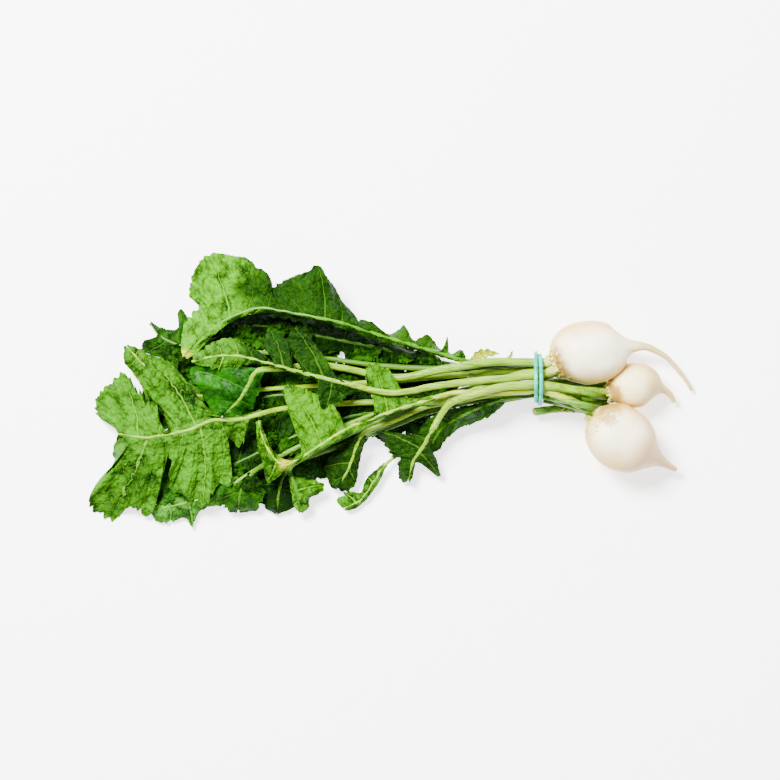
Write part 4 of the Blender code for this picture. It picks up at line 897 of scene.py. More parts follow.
@dataclass(frozen=True)
class TubeShape:
    """Cross-section of a stem.

    Args:
        sides: number of faces round it.
        height: its height as a share of its width.
        groove: depth of the groove on top as a share of its radius.
        ridges: height of its lengthwise ridges as a share of its radius.
    """

    sides: int = 16
    height: float = 1.0
    groove: float = 0.12
    ridges: float = 0.025

    def swell(self, turns: np.ndarray) -> np.ndarray:
        """Return the radius at the given directions as a share of the stem's radius."""
        groove = self.groove * np.exp(-((np.mod(turns, math.tau) - math.pi / 2) / GROOVE_WIDTH) ** 2)
        return 1 - groove + self.ridges * np.cos(RIDGE_COUNT * turns)


class LeafModel:
    """A leaf's stem, midrib and toothed blade, laid on its solid in the frame."""

    def __init__(self, leaf: Leaf, seed: int) -> None:
        """Work out the leaf's stem and midrib.

        Args:
            leaf: the leaf's plan.
            seed: a number that makes its teeth and waves its own.
        """
        self.leaf = leaf
        self.seed = seed * 7.31
        self.surface = Surface(leaf.name)
        self.path = smooth_curve(self._route(), STEM_STEP)
        self.along = lengths(self.path)
        self.start = self.along[-1]
        if leaf.left:
            first = (np.array(leaf.left[0][1:]) + np.array(leaf.right[0][1:])) / 2
            self.start = self.along[np.argmin(np.linalg.norm(self.path - first, axis=1))]
        self.blade = max(self.along[-1] - self.start, 1e-6)
        self.radius = self._radii()
        self.centres = self._centres()

    def _route(self) -> list[tuple[float, float]]:
        """Plan the leaf's line.

        Returns:
            Its points from the crown through the tie to the tip.
        """
        leaf = self.leaf
        if not leaf.left:
            return list(leaf.route)
        crown, across, middle = CROWNS[leaf.root]
        off = leaf.slot - middle
        end = (crown[0] + across[0] * off, crown[1] + across[1] * off)
        tied = [(BAND_X + TIED_LENGTH / 2, leaf.slot), (BAND_X - TIED_LENGTH, leaf.slot)]
        return [end] + tied + list(leaf.route)

    def _radii(self) -> np.ndarray:
        """Taper the stem and the midrib.

        Returns:
            Their radius at each point of the path.
        """
        leaf = self.leaf
        if not leaf.left:
            return np.full(len(self.along), leaf.radius)
        share = np.clip((self.along - self.start) / self.blade, 0, 1)
        stout = leaf.radius * (1 - (1 - STEM_TAPER) * ease(self.along, TAPER_START, self.start))
        return stout * (1 - share) + MIDRIB_END_RADIUS * share

    def _centres(self) -> np.ndarray:
        """Lay the middle line on the solid and draw it in to the root's crown.

        Returns:
            Its points in space.
        """
        top = smoothed(self.surface.top(self.path), STEM_ROUNDS)
        centres = np.column_stack([self.path, top - self.radius])
        root = ROOTS[self.leaf.root - 1]
        inward = np.array(root.spine[1]) - np.array(root.spine[0])
        crown = np.array(root.spine[0]) + inward / np.linalg.norm(inward) * CROWN_SUNK
        off = centres[0] - crown
        reach = CROWN_SHARE * root.profile[1][1]
        target = crown + off * min(1.0, reach / np.linalg.norm(off))
        drawn = 1 - ease(self.along, 0, CROWN_PULL)
        return centres + (target - centres[0]) * drawn[:, None]

    def _rows(self) -> tuple[np.ndarray, list[np.ndarray]]:
        """Set out the blade's cross-sections, evenly along its longest line.

        Returns:
            Their shares of the midrib, and both margins there, the left-hand one first.
        """
        dense = np.linspace(0, 1, ROW_SAMPLES)
        sides = []
        for margin in (self.leaf.left, self.leaf.right):
            curve = smooth_curve([(s * SHARE_WEIGHT, x, y) for s, x, y in margin], 1.0)
            share = np.maximum.accumulate(curve[:, 0] + np.arange(len(curve)) * 1e-6) / SHARE_WEIGHT
            sides.append(columns_at(dense, share, curve[:, 1:]))
        midrib = columns_at(self.start + self.blade * dense, self.along, self.path)
        pace = np.max([np.linalg.norm(np.diff(line, axis=0), axis=1) for line in (*sides, midrib)], axis=0)
        total = np.concatenate([[0], np.cumsum(pace)])
        marks = np.linspace(0, total[-1], max(LEAST_ROWS, int(total[-1] / self.leaf.step)))
        shares = np.interp(marks, total, dense)
        sides = [columns_at(shares, dense, side) for side in sides]
        ahead = np.gradient(midrib, axis=0)
        aside = np.column_stack([-ahead[:, 1], ahead[:, 0]])
        if (aside * (columns_at(dense, shares, sides[0]) - midrib)).sum() < 0:
            sides.reverse()
        return shares, sides

    def _teeth(self, outer: np.ndarray, side: int) -> np.ndarray:
        """Return the margin's teeth, uneven and leaning towards the tip.

        Args:
            outer: distance along the margin.
            side: 0 or 1 for the leaf's side.

        Returns:
            How far each point stands out, as a share of a tooth.
        """
        pitch = self.leaf.pitch
        wobble = drift(outer, self.seed + side, 1.6 * pitch)
        large = np.mod(outer / pitch + 0.6 * wobble, 1)
        small = np.mod(outer / (SMALL_PITCH * pitch) + 0.8 * wobble, 1)
        uneven = 0.8 + 0.7 * drift(outer, self.seed + side + 20, 2.2 * pitch)
        lobe = drift(outer, self.seed + side + 40, 3.0 * pitch)
        saw = np.where(large < TOOTH_PEAK, large / TOOTH_PEAK, (1 - large) / (1 - TOOTH_PEAK))
        notch = np.where(small < SMALL_PEAK, small / SMALL_PEAK, (1 - small) / (1 - SMALL_PEAK))
        return (saw - TOOTH_MIDDLE) * uneven + 0.28 * (notch - 0.5) + 0.5 * lobe

    def _phase(self, shares: np.ndarray, reach: np.ndarray) -> tuple[np.ndarray, np.ndarray]:
        """Count the side veins along the midrib, with one running into each lobe's tip.

        Args:
            shares: shares of the cross-sections along the midrib.
            reach: the blade's width at each.

        Returns:
            A number for each cross-section that is whole on a side vein, and 1 near the veins that
            run into a lobe.
        """
        window = max(2, len(shares) // LOBE_PART)
        even = smoothed(reach, window)
        anchors = [0.0]
        for i in range(window, len(shares) - window):
            widest = even[i] == even[i - window:i + window + 1].max()
            if widest and shares[i] - anchors[-1] > LOBES_APART:
                anchors.append(float(shares[i]))
        anchors.append(1.0)
        counts = [0]
        for low, high in zip(anchors, anchors[1:]):
            counts.append(counts[-1] + max(1, round((high - low) * self.blade / self.leaf.veins)))
        phase = np.interp(shares, anchors, counts)
        major = np.isin(np.round(phase), counts[1:-1]).astype(float)
        return phase, major

    def _add_blade(self, sheet: Sheet) -> None:
        """Add the blade with its teeth, waves, folds and blisters.

        Args:
            sheet: the mesh to add to.
        """
        leaf = self.leaf
        shares, sides = self._rows()
        marks = self.start + self.blade * shares
        base = columns_at(marks, self.along, self.centres)
        thick = np.interp(marks, self.along, self.radius)
        heading = np.gradient(base[:, :2], axis=0)
        heading /= np.maximum(np.linalg.norm(heading, axis=1), 1e-6)[:, None]
        rows, cols = len(shares), 2 * leaf.ribs + 1
        place = np.zeros((rows, cols, 3))
        names = ("phase", "major", "side", "rib", "along", "shade", "ripe")
        layers = {name: np.zeros((rows, cols)) for name in names}
        ruffle = np.zeros((rows, cols))
        steps = (np.arange(leaf.ribs + 1) / leaf.ribs) ** RIB_CROWDING
        for side, (margin, sign) in enumerate(zip(sides, (-1, 1))):
            rib = margin - base[:, :2]
            reach = np.maximum(np.linalg.norm(rib, axis=1), 1e-6)
            rib /= reach[:, None]
            outer = lengths(margin)
            phase, major = self._phase(shares, reach)
            depth = leaf.tooth * np.minimum(1, reach / TOOTH_WIDTH)
            reach = np.maximum(reach + depth * self._teeth(outer, side), thick + 0.8)
            wave = np.sin(math.tau * outer / WAVE_LENGTH + self.seed)
            wave += drift(outer, self.seed + 9 + side, WAVE_DRIFT)
            for k, t in enumerate(steps):
                j = leaf.ribs + sign * k
                stop = reach * t
                bow = -BOW * reach * math.sin(math.pi * t)
                place[:, j, :2] = base[:, :2] + rib * stop[:, None] + heading * bow[:, None]
                cast = self.surface.top(place[:, j, :2]) - BLADE_HALF
                blend = ease(stop, 0.7 * thick.mean(), 2.0 * thick.mean())
                place[:, j, 2] = base[:, 2] * (1 - blend) + cast * blend
                layers["phase"][:, j] = phase
                layers["major"][:, j] = major
                layers["side"][:, j] = t
                layers["rib"][:, j] = stop
                layers["along"][:, j] = shares
                ruffle[:, j] = leaf.ruffle * wave * t ** RUFFLE_RISE
        place[:, :, 2] = smoothed(smoothed(place[:, :, 2], SMOOTHING_ROUNDS).T, 2).T
        place[:, :, 2] += smoothed(ruffle, 3)
        self._pucker(place, layers)
        self._fold(place)
        self._tint(place, layers)
        place[:, :, 2] = np.maximum(place[:, :, 2], BLADE_HALF)
        layers["vein_gap"] = self._vein_gap(place, layers["phase"])
        sheet.add_grid(place, 0, **layers)

    def _pucker(self, place: np.ndarray, layers: dict[str, np.ndarray]) -> None:
        """Raise the blade between its side veins and give it small blisters.

        Args:
            place: the blade's points, which are moved.
            layers: its float layers.
        """
        t = layers["side"]
        between = np.sin(math.pi * layers["phase"]) ** 2 * np.sin(math.pi * np.clip(t, 0, 1) ** 0.7)
        place[:, :, 2] += PUCKER * between
        for i, j in np.ndindex(t.shape):
            x, y = place[i, j, :2]
            bumps = noise.noise(Vector((x / BLISTER_LENGTH, y / BLISTER_LENGTH, self.seed)))
            swell = noise.noise(Vector((x / SWELL_LENGTH, y / SWELL_LENGTH, self.seed + 5)))
            place[i, j, 2] += (BLISTER * bumps + self.leaf.ruffle * SWELL * swell) * t[i, j]

    def _fold(self, place: np.ndarray) -> None:
        """Press the leaf's creases into its blade.

        Args:
            place: the blade's points, which are moved.
        """
        for crease in self.leaf.creases:
            start, end = np.array(crease.start), np.array(crease.end)
            run = end - start
            share = np.clip(((place[:, :, :2] - start) @ run) / (run @ run), 0, 1)
            apart = np.linalg.norm(place[:, :, :2] - start - share[:, :, None] * run, axis=2)
            place[:, :, 2] -= crease.depth * np.exp(-(apart / crease.width) ** 2)

    def _tint(self, place: np.ndarray, layers: dict[str, np.ndarray]) -> None:
        """Mark the leaf's darker and yellow patches on its blade.

        Args:
            place: the blade's points.
            layers: its float layers, of which shade and ripe are filled.
        """
        # The darker patches are partly the leaf's own darker green and partly painted shade.
        for patch in self.leaf.patches:
            apart = np.linalg.norm(place[:, :, :2] - np.array(patch.middle), axis=2)
            share = np.exp(-(apart / patch.radius) ** 2)
            layers["shade"] += patch.shade * share
            layers["ripe"] += patch.ripe * share

    @staticmethod
    def _vein_gap(place: np.ndarray, phase: np.ndarray) -> np.ndarray:
        """Measure how far apart the side veins are.

        Args:
            place: the blade's points.
            phase: the count of side veins at each point.

        Returns:
            The distance between two veins at each point, in millimetres.
        """
        run = np.gradient(place[:, :, :2], axis=0)
        rib = np.gradient(place[:, :, :2], axis=1)
        rib /= np.maximum(np.linalg.norm(rib, axis=2), 1e-6)[:, :, None]
        width = np.abs(run[:, :, 0] * rib[:, :, 1] - run[:, :, 1] * rib[:, :, 0])
        return np.clip(width / np.maximum(np.gradient(phase, axis=0), 1e-3), 1.0, 60.0)

    def _strewn(self) -> list[Leaflet]:
        """Strew small curled leaves over the blade, each with both ends over the leaf's solid.

        Returns:
            Their plans.
        """
        random = np.random.default_rng(int(self.seed * 100) + 3)
        found = []
        for _ in range(self.leaf.curls):
            mark = self.start + self.blade * random.uniform(*STREWN_SHARES)
            x, y = columns_at(np.array([mark]), self.along, self.path)[0]
            heading = random.uniform(0, math.tau)
            x += random.uniform(*STREWN_ALONG)
            y += random.uniform(*STREWN_ACROSS)
            reach = random.uniform(*STREWN_LENGTHS)
            end = (x + reach * math.cos(heading), y + reach * math.sin(heading))
            if not (self.surface.height_over(x, y, False) and self.surface.height_over(*end, False)):
                continue
            found.append(Leaflet((x, y), end, reach * random.uniform(*STREWN_WIDTHS),
                                 random.uniform(*STREWN_CURLS), random.uniform(*STREWN_SHADES)))
        return found

    def _add_leaflet(self, sheet: Sheet, leaflet: Leaflet, number: int,
                     under: Surface, over: Surface) -> None:
        """Add a small leaf that lies on what is under it and stays under what is over it.

        Args:
            sheet: the mesh to add to.
            leaflet: its plan.
            number: its place among the leaf's small leaves.
            under: the solids that it lies on.
            over: the solids that it stays under.
        """
        start, end = np.array(leaflet.start), np.array(leaflet.end)
        run = end - start
        reach = np.linalg.norm(run)
        aside = np.array([-run[1], run[0]]) / reach
        rows, half = LEAFLET_ROWS, LEAFLET_RIBS
        names = ("phase", "vein_gap", "side", "rib", "along", "shade", "ripe")
        layers = {name: np.zeros((rows, 2 * half + 1)) for name in names}
        place = np.zeros((rows, 2 * half + 1, 3))
        turn = self.seed + 3.1 * number
        least = under.height_over(*leaflet.start, False) - LEAFLET_DROP * reach
        for i, j in np.ndindex(place.shape[:2]):
            share = i / (rows - 1)
            t = (j - half) / half
            tooth = abs(math.sin(math.pi * share * LEAFLET_TEETH + 0.7 * math.copysign(1, t) + turn))
            broad = 0.5 * leaflet.width * math.sin(math.pi * share ** 0.75) ** 0.7 * (0.72 + 0.5 * tooth)
            bend = LEAFLET_BEND * reach * math.sin(turn) * math.sin(math.pi * share)
            x, y = start + run * share + aside * (t * max(broad, 0.3) + bend)
            wave = math.sin(5.0 * share * math.pi + 2.2 * t + turn) * t * t
            rest = max(under.height_over(x, y, False), least) + LEAFLET_RISE
            rest += leaflet.curl * (0.6 + wave + abs(t))
            cover = over.height_over(x, y, True) - LEAFLET_COVER
            place[i, j] = (x, y, max(BLADE_HALF, min(rest, cover)))
            layers["phase"][i, j] = share * LEAFLET_VEINS - abs(t) * 0.6
            layers["vein_gap"][i, j] = reach / LEAFLET_VEINS
            layers["side"][i, j] = abs(t)
            layers["rib"][i, j] = abs(t) * broad
            layers["along"][i, j] = share
            layers["shade"][i, j] = leaflet.shade
            layers["ripe"][i, j] = leaflet.ripe
        place[:, :, 2] = smoothed(smoothed(place[:, :, 2], 2).T, 1).T
        sheet.add_slab(place, BLADE_THICKNESS, 0, **layers)

    def _add_stem(self, sheet: Sheet) -> None:
        """Add the stem and the midrib as one tapered tube.

        Args:
            sheet: the mesh to add to.
        """
        widened = CROWN_FLARE if self.leaf.root == 1 else -CROWN_FLARE
        flare = 1 + widened * (1 - ease(self.along, 0, CROWN_FLARE_LENGTH))
        in_blade = ease(self.along, self.start - 6, self.start + 14)
        radii = self.radius * flare * (1 - MIDRIB_SLIMMER * in_blade)
        centres = self.centres.copy()
        if self.leaf.left:
            centres[:, 2] -= MIDRIB_SUNK * self.radius * in_blade
        shares = self.along / max(self.start, 1.0)
        pale = np.full(len(shares), 1.0 if self.leaf.root == 1 else 0.25)
        sheet.add_tube(centres, radii, TubeShape(), 1, along=shares, pale=pale)

    def build(self, finishes: "Finishes") -> bpy.types.Object:
        """Build the leaf.

        Args:
            finishes: the materials.

        Returns:
            The leaf's object.
        """
        sheet = Sheet()
        self._add_blade(sheet)
        names = [leaf.name for leaf in LEAVES]
        own = names.index(self.leaf.name)
        under, over = Surface(*names[:own + 1]), Surface(*names[own + 1:])
        for number, leaflet in enumerate(list(self.leaf.leaflets) + self._strewn()):
            self._add_leaflet(sheet, leaflet, number, under, over)
        self._add_stem(sheet)
        look = self.leaf.look
        return sheet.finish(f"{self.leaf.name}_fine", [finishes.blade(look), finishes.stem(look)])


class TornStem(LeafModel):
    """The stump of a leaf that was torn off, with a ragged brown end."""

    def _centres(self) -> np.ndarray:
        """Return the middle line in space, on the solid."""
        top = smoothed(self.surface.top(self.path), STEM_ROUNDS)
        return np.column_stack([self.path, top - self.radius])

    def build(self, finishes: "Finishes") -> bpy.types.Object:
        """Build the stump.

        Args:
            finishes: the materials.

        Returns:
            The stump's object.
        """
        sheet = Sheet()
        shares = self.along / self.along[-1]
        radii = self.radius * (1 + 0.12 * drift(self.along, 3.0, 7.0))
        pale = np.full(len(shares), 1.0)
        made = sheet.add_tube(self.centres, radii, TubeShape(24, 0.9, 0.2, 0.06), 0,
                              along=shares, pale=pale)
        end = (self.centres[-1][0] - BOX_MIDDLE[0]) * MM
        for vert in made:
            if vert.co.x < end + 1e-3:
                ragged = noise.noise(Vector((vert.co.y, vert.co.z, 0)) * 700)
                vert.co.x += ragged * TORN_DEPTH * MM
        rim = [f for f in sheet.bm.faces if len(f.verts) > 8 and f.calc_center_median().x < end + 2e-3]
        inner = bmesh.ops.inset_region(sheet.bm, faces=rim, thickness=TORN_WALL * MM,
                                       depth=-TORN_HOLLOW * MM)
        for face in rim + inner["faces"]:
            face.material_index = 1
        self._add_stalks(sheet)
        self._add_husk(sheet)
        materials = [finishes.stem(Look.SILVER), finishes.torn_end(), finishes.leaf_bases()]
        return sheet.finish("torn_stem_fine", materials)

    @staticmethod
    def _add_husk(sheet: Sheet) -> None:
        """Add the ragged dry scraps beside the torn stem.

        Args:
            sheet: the mesh to add to.
        """
        random = np.random.default_rng(11)
        for _ in range(HUSK_SCRAPS):
            foot = random.uniform(*HUSK_PLACE)
            tip = foot + random.uniform(*HUSK_REACH)
            radii = random.uniform(0.7, 1.5) * np.array(HUSK_TAPER)
            line = np.linspace(foot, tip, len(radii))
            sheet.add_tube(line, radii, TubeShape(8, 0.7, 0.3, 0.15), 2,
                           along=np.linspace(0.3, 1, len(radii)))

    def _add_stalks(self, sheet: Sheet) -> None:
        """Add the stalks that are broken off at the tie, among the whole stems.

        Args:
            sheet: the mesh to add to.
        """
        pile = Surface(*[leaf.name for leaf in LEAVES])
        for start, end, radius, sunk in STALKS:
            middle = ((start[0] + end[0]) / 2, (start[1] + end[1]) / 2 + STALK_BOW)
            line = smooth_curve((start, middle, end), STEM_STEP)
            over = np.array([pile.height_over(x, y, False) for x, y in line])
            over = np.maximum(smoothed(np.maximum(over, STALK_LEVEL), STALK_ROUNDS) - sunk, radius)
            share = np.linspace(0, 1, len(line))
            radii = radius * (0.75 + 0.4 * share)
            sheet.add_tube(np.column_stack([line, over - radii]), radii, TubeShape(), 0,
                           along=0.5 - 0.45 * share, pale=np.full(len(line), 0.2))


class RootModel:
    """A swollen root with its crown, its tapering tail and its small flat spot."""

    def __init__(self, shape: RootShape, seed: int) -> None:
        """Prepare the root.

        Args:
            shape: the root's plan.
            seed: a number that makes its lumps its own.
        """
        self.shape = shape
        self.seed = seed * 3.7
        self.spine = smooth_curve(shape.spine, 1.0)
        self.along = lengths(self.spine)

    def _bent(self, x: float, turn: float, radius: float) -> Vector:
        """Return the place of a point of the straight root once it is bent, in millimetres.

        Args:
            x: distance from the crown.
            turn: direction round the middle line.
            radius: distance from the middle line.

        Returns:
            Its place in the plan's axes.
        """
        s = x / self.shape.profile[-1][0] * self.along[-1]
        marks = np.clip([s, s - SPINE_REACH, s + SPINE_REACH], 0, self.along[-1])
        here, before, after = (Vector(row) for row in columns_at(marks, self.along, self.spine))
        ahead = (after - before).normalized()
        side = Vector((0, 0, 1)).cross(ahead).normalized()
        up = ahead.cross(side)
        lumps = self.shape.lumps * (math.cos(3 * turn + 0.12 * s) + 0.6 * math.cos(5 * turn - 0.2 * s))
        around = Vector((s, math.cos(turn) * radius, math.sin(turn) * radius)) / SKIN_LENGTH
        skin = noise.noise(around + Vector((0, self.seed, 0)))
        neck = NECK_RINGS * math.sin(1.9 * s + math.sin(2 * turn)) * math.exp(-s / 6)
        swell = radius * (1 + lumps) + SKIN_LUMPS * skin + neck
        return here + ahead * min(x, 0) + side * math.sin(turn) * swell + up * math.cos(turn) * swell

    def build(self, finishes: "Finishes") -> bpy.types.Object:
        """Build the root.

        Args:
            finishes: the materials.

        Returns:
            The root's object.
        """
        sheet = Sheet()
        bm = sheet.bm
        outline = smooth_curve(CROWN_DISH + self.shape.profile, ROOT_STEP)
        outline[:, 1] = np.maximum(outline[:, 1], 0)
        line = [bm.verts.new((float(x), 0, float(r))) for x, r in outline]
        line.append(bm.verts.new((float(outline[-1][0]) + TAIL_CAP, 0, 0)))
        edges = [bm.edges.new(pair) for pair in zip(line, line[1:])]
        bmesh.ops.spin(bm, geom=line + edges, cent=(0, 0, 0), axis=(1, 0, 0), angle=math.tau,
                       steps=ROOT_SIDES, use_merge=True)
        bmesh.ops.remove_doubles(bm, verts=bm.verts[:], dist=1e-4)
        for vert in bm.verts:
            turn = math.atan2(vert.co.y, vert.co.z)
            vert[sheet.layers["along"]] = vert.co.x
            # 0 on top and 1 underneath; the skin uses it for its painted shade.
            vert[sheet.layers["turn"]] = abs(turn) / math.pi
            spot = self._bent(vert.co.x, turn, math.hypot(vert.co.y, vert.co.z))
            # Share of the brown mark by the crown, partly earth and partly painted shade.
            apart = math.dist(spot[:2], self.shape.stain[:2]) / self.shape.stain[2]
            vert[sheet.layers["shade"]] = math.exp(-apart ** 2)
            vert.co = in_frame(spot.x, spot.y, max(spot.z, 0.0) * MM)
        self._add_bases(sheet)
        materials = [finishes.skin(self.shape), finishes.leaf_bases()]
        return sheet.finish(f"{self.shape.name}_fine", materials, SMOOTH_ALL_ROUND)

    def _add_bases(self, sheet: Sheet) -> None:
        """Add the short bases that old leaves left round the crown.

        Args:
            sheet: the mesh to add to.
        """
        random = np.random.default_rng(int(self.seed * 10) + 5)
        ahead = (Vector(self.spine[2]) - Vector(self.spine[0])).normalized()
        side = Vector((0, 0, 1)).cross(ahead).normalized()
        up = ahead.cross(side)
        ring = self.shape.profile[1][1]
        for _ in range(LEAF_BASES):
            turn = random.uniform(0, math.tau)
            outward = side * math.sin(turn) + up * math.cos(turn)
            foot = Vector(self.spine[0]) + outward * ring * random.uniform(0.6, 1.0) + ahead * 1.0
            tip = foot - ahead * random.uniform(1.8, 5.0) + outward * random.uniform(-0.5, 1.6)
            radii = random.uniform(0.9, 1.9) * np.array(LEAF_BASE_TAPER)
            line = np.linspace(np.array(foot), np.array(tip), len(radii))
            sheet.add_tube(line, radii, TubeShape(10, 0.7, 0.25, 0.1), 1,
                           along=np.linspace(0, 1, len(radii)))


@dataclass(frozen=True)
class RubberBand:
    """The doubled rubber band round the stems, rounded from its solid.

    Args:
        swell: how far its surface is moved out first, in millimetres, because rounding slims it.
        levels: how often it is rounded.
        doubles: distance at which the solid's points are merged, in metres.
    """

    swell: float = 0.32
    levels: int = 2
    doubles: float = 1e-6

    def build(self, finishes: "Finishes") -> bpy.types.Object:
        """Build the band.

        Args:
            finishes: the materials.

        Returns:
            The band's object.
        """
        bm = bmesh.new()
        bm.from_mesh(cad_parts["rubber_band"].data)
        bmesh.ops.remove_doubles(bm, verts=bm.verts[:], dist=self.doubles)
        bmesh.ops.join_triangles(bm, faces=bm.faces[:], angle_face_threshold=math.pi,
                                 angle_shape_threshold=math.pi)
        bm.normal_update()
        for vert in bm.verts:
            vert.co += vert.normal * self.swell * MM
        mesh = bpy.data.meshes.new("rubber_band_fine")
        bm.to_mesh(mesh)
        bm.free()
        mesh.shade_smooth()
        mesh.materials.append(finishes.rubber())
        obj = bpy.data.objects.new("rubber_band_fine", mesh)
        bpy.context.scene.collection.objects.link(obj)
        rounding = obj.modifiers.new("rounding", "SUBSURF")
        rounding.levels = self.levels
        rounding.render_levels = self.levels
        return obj


class Field:
    """A shader value that takes part in sums, products and powers."""

    def __init__(self, graph: "Graph", socket: bpy.types.NodeSocket) -> None:
        """Take a socket of a material.

        Args:
            graph: the material's nodes.
            socket: the output that gives the value.
        """
        self.graph = graph
        self.socket = socket

    def _math(self, operation: str, *values: object) -> "Field":
        """Return the result of a Math node."""
        node = self.graph.node("ShaderNodeMath", {"operation": operation}, dict(enumerate(values)))
        return Field(self.graph, node.outputs[0])

    def __add__(self, other: object) -> "Field":
        """Return the sum."""
        return self._math("ADD", self, other)

    __radd__ = __add__

    def __mul__(self, other: object) -> "Field":
        """Return the product."""
        return self._math("MULTIPLY", self, other)

    __rmul__ = __mul__

    def __sub__(self, other: object) -> "Field":
        """Return the difference."""
        return self._math("SUBTRACT", self, other)

    def __rsub__(self, other: object) -> "Field":
        """Return the difference from the other."""
        return self._math("SUBTRACT", other, self)

    def __truediv__(self, other: object) -> "Field":
        """Return the quotient."""
        return self._math("DIVIDE", self, other)

    def __pow__(self, other: object) -> "Field":
        """Return the power."""
        return self._math("POWER", self, other)

    def fract(self) -> "Field":
        """Return the part after the point."""
        return self._math("FRACT", self)

    def size(self) -> "Field":
        """Return the value without its sign."""
        return self._math("ABSOLUTE", self)

    def sine(self) -> "Field":
        """Return the sine."""
        return self._math("SINE", self)

    def most(self, other: object) -> "Field":
        """Return the greater of two values."""
        return self._math("MAXIMUM", self, other)

    def step(self, low: object, high: object) -> "Field":
        """Return a smooth rise from 0 at low to 1 at high, or a fall where high is less."""
        node = self.graph.node("ShaderNodeMapRange", {"interpolation_type": "SMOOTHSTEP"},
                               {"Value": self, "From Min": low, "From Max": high})
        return Field(self.graph, node.outputs[0])


class Graph:
    """A material's nodes round its Principled shader."""

    def __init__(self, name: str) -> None:
        """Start a material.

        Args:
            name: its name.
        """
        self.material = bpy.data.materials.new(name)
        self.material.use_nodes = True
        self.tree = self.material.node_tree
        self.shader = self.tree.nodes["Principled BSDF"]
        self.spot = self.tree.nodes.new("ShaderNodeTexCoord").outputs["Object"]

    def node(self, kind: str, settings: dict[str, object], inputs: dict[object, object]) -> bpy.types.Node:
        """Add a node.

        Args:
            kind: the node's type.
            settings: its settings, such as an operation, and stops for a ramp.
            inputs: values or links by the name or number of the socket.

        Returns:
            The node.
        """
        node = self.tree.nodes.new(kind)
        for key, value in settings.items():
            if key == "stops":
                self._set_stops(node.color_ramp, value)
            else:
                setattr(node, key, value)
        for key, value in inputs.items():
            self.feed(node.inputs[key], value)
        return node

    @staticmethod
    def _set_stops(ramp: bpy.types.ColorRamp, stops: list[tuple[float, Colour]]) -> None:
        """Give a ramp its stops."""
        for i, (position, colour) in enumerate(stops):
            stop = ramp.elements[i] if i < 2 else ramp.elements.new(position)
            stop.position = position
            stop.color = (*colour, 1.0)

    def feed(self, socket: bpy.types.NodeSocket, value: object) -> None:
        """Link a value to a socket, or set it there."""
        if isinstance(value, Field):
            value = value.socket
        if isinstance(value, bpy.types.NodeSocket):
            self.tree.links.new(value, socket)
        elif isinstance(value, tuple) and len(value) == 3 and socket.type == "RGBA":
            socket.default_value = (*value, 1.0)
        else:
            socket.default_value = value

    def layer(self, name: str) -> Field:
        """Return one of the mesh's float layers."""
        node = self.node("ShaderNodeAttribute", {"attribute_name": name}, {})
        return Field(self, node.outputs["Fac"])

    def clouds(self, scale: float, detail: float = 3.0, roughness: float = 0.5) -> Field:
        """Return noise between 0 and 1, with its scale in features to a metre."""
        node = self.node("ShaderNodeTexNoise", {}, {"Vector": self.spot, "Scale": scale, "Detail": detail,
                                                    "Roughness": roughness})
        return Field(self, node.outputs["Fac"])

    def net(self, scale: float) -> Field:
        """Return the distance to the walls of a net of cells, with its scale in cells to a metre."""
        node = self.node("ShaderNodeTexVoronoi", {"feature": "DISTANCE_TO_EDGE"},
                         {"Vector": self.spot, "Scale": scale, "Randomness": 0.9})
        return Field(self, node.outputs["Distance"])

    def cells(self, scale: float) -> Field:
        """Return the distance to the middle of the nearest cell."""
        node = self.node("ShaderNodeTexVoronoi", {"feature": "F1"}, {"Vector": self.spot, "Scale": scale})
        return Field(self, node.outputs["Distance"])

    def mix(self, share: object, first: object, second: object) -> bpy.types.NodeSocket:
        """Return a colour between two, by a share of 0 to 1."""
        node = self.node("ShaderNodeMix", {"data_type": "RGBA"}, {0: share, 6: first, 7: second})
        return node.outputs[2]

    def relief(self, height: Field, strength: float, depth: float) -> bpy.types.NodeSocket:
        """Return the normal of a surface with a height, whose full depth is in metres."""
        node = self.node("ShaderNodeBump", {}, {"Height": height, "Strength": strength, "Distance": depth})
        return node.outputs["Normal"]

    def dress(self, **values: object) -> bpy.types.Material:
        """Finish the material.

        Args:
            values: values or links for the shader's sockets, named with underscores for spaces.

        Returns:
            The material.
        """
        for key, value in values.items():
            self.feed(self.shader.inputs[key.replace("_", " ").title().replace("Ior", "IOR")], value)
        return self.material


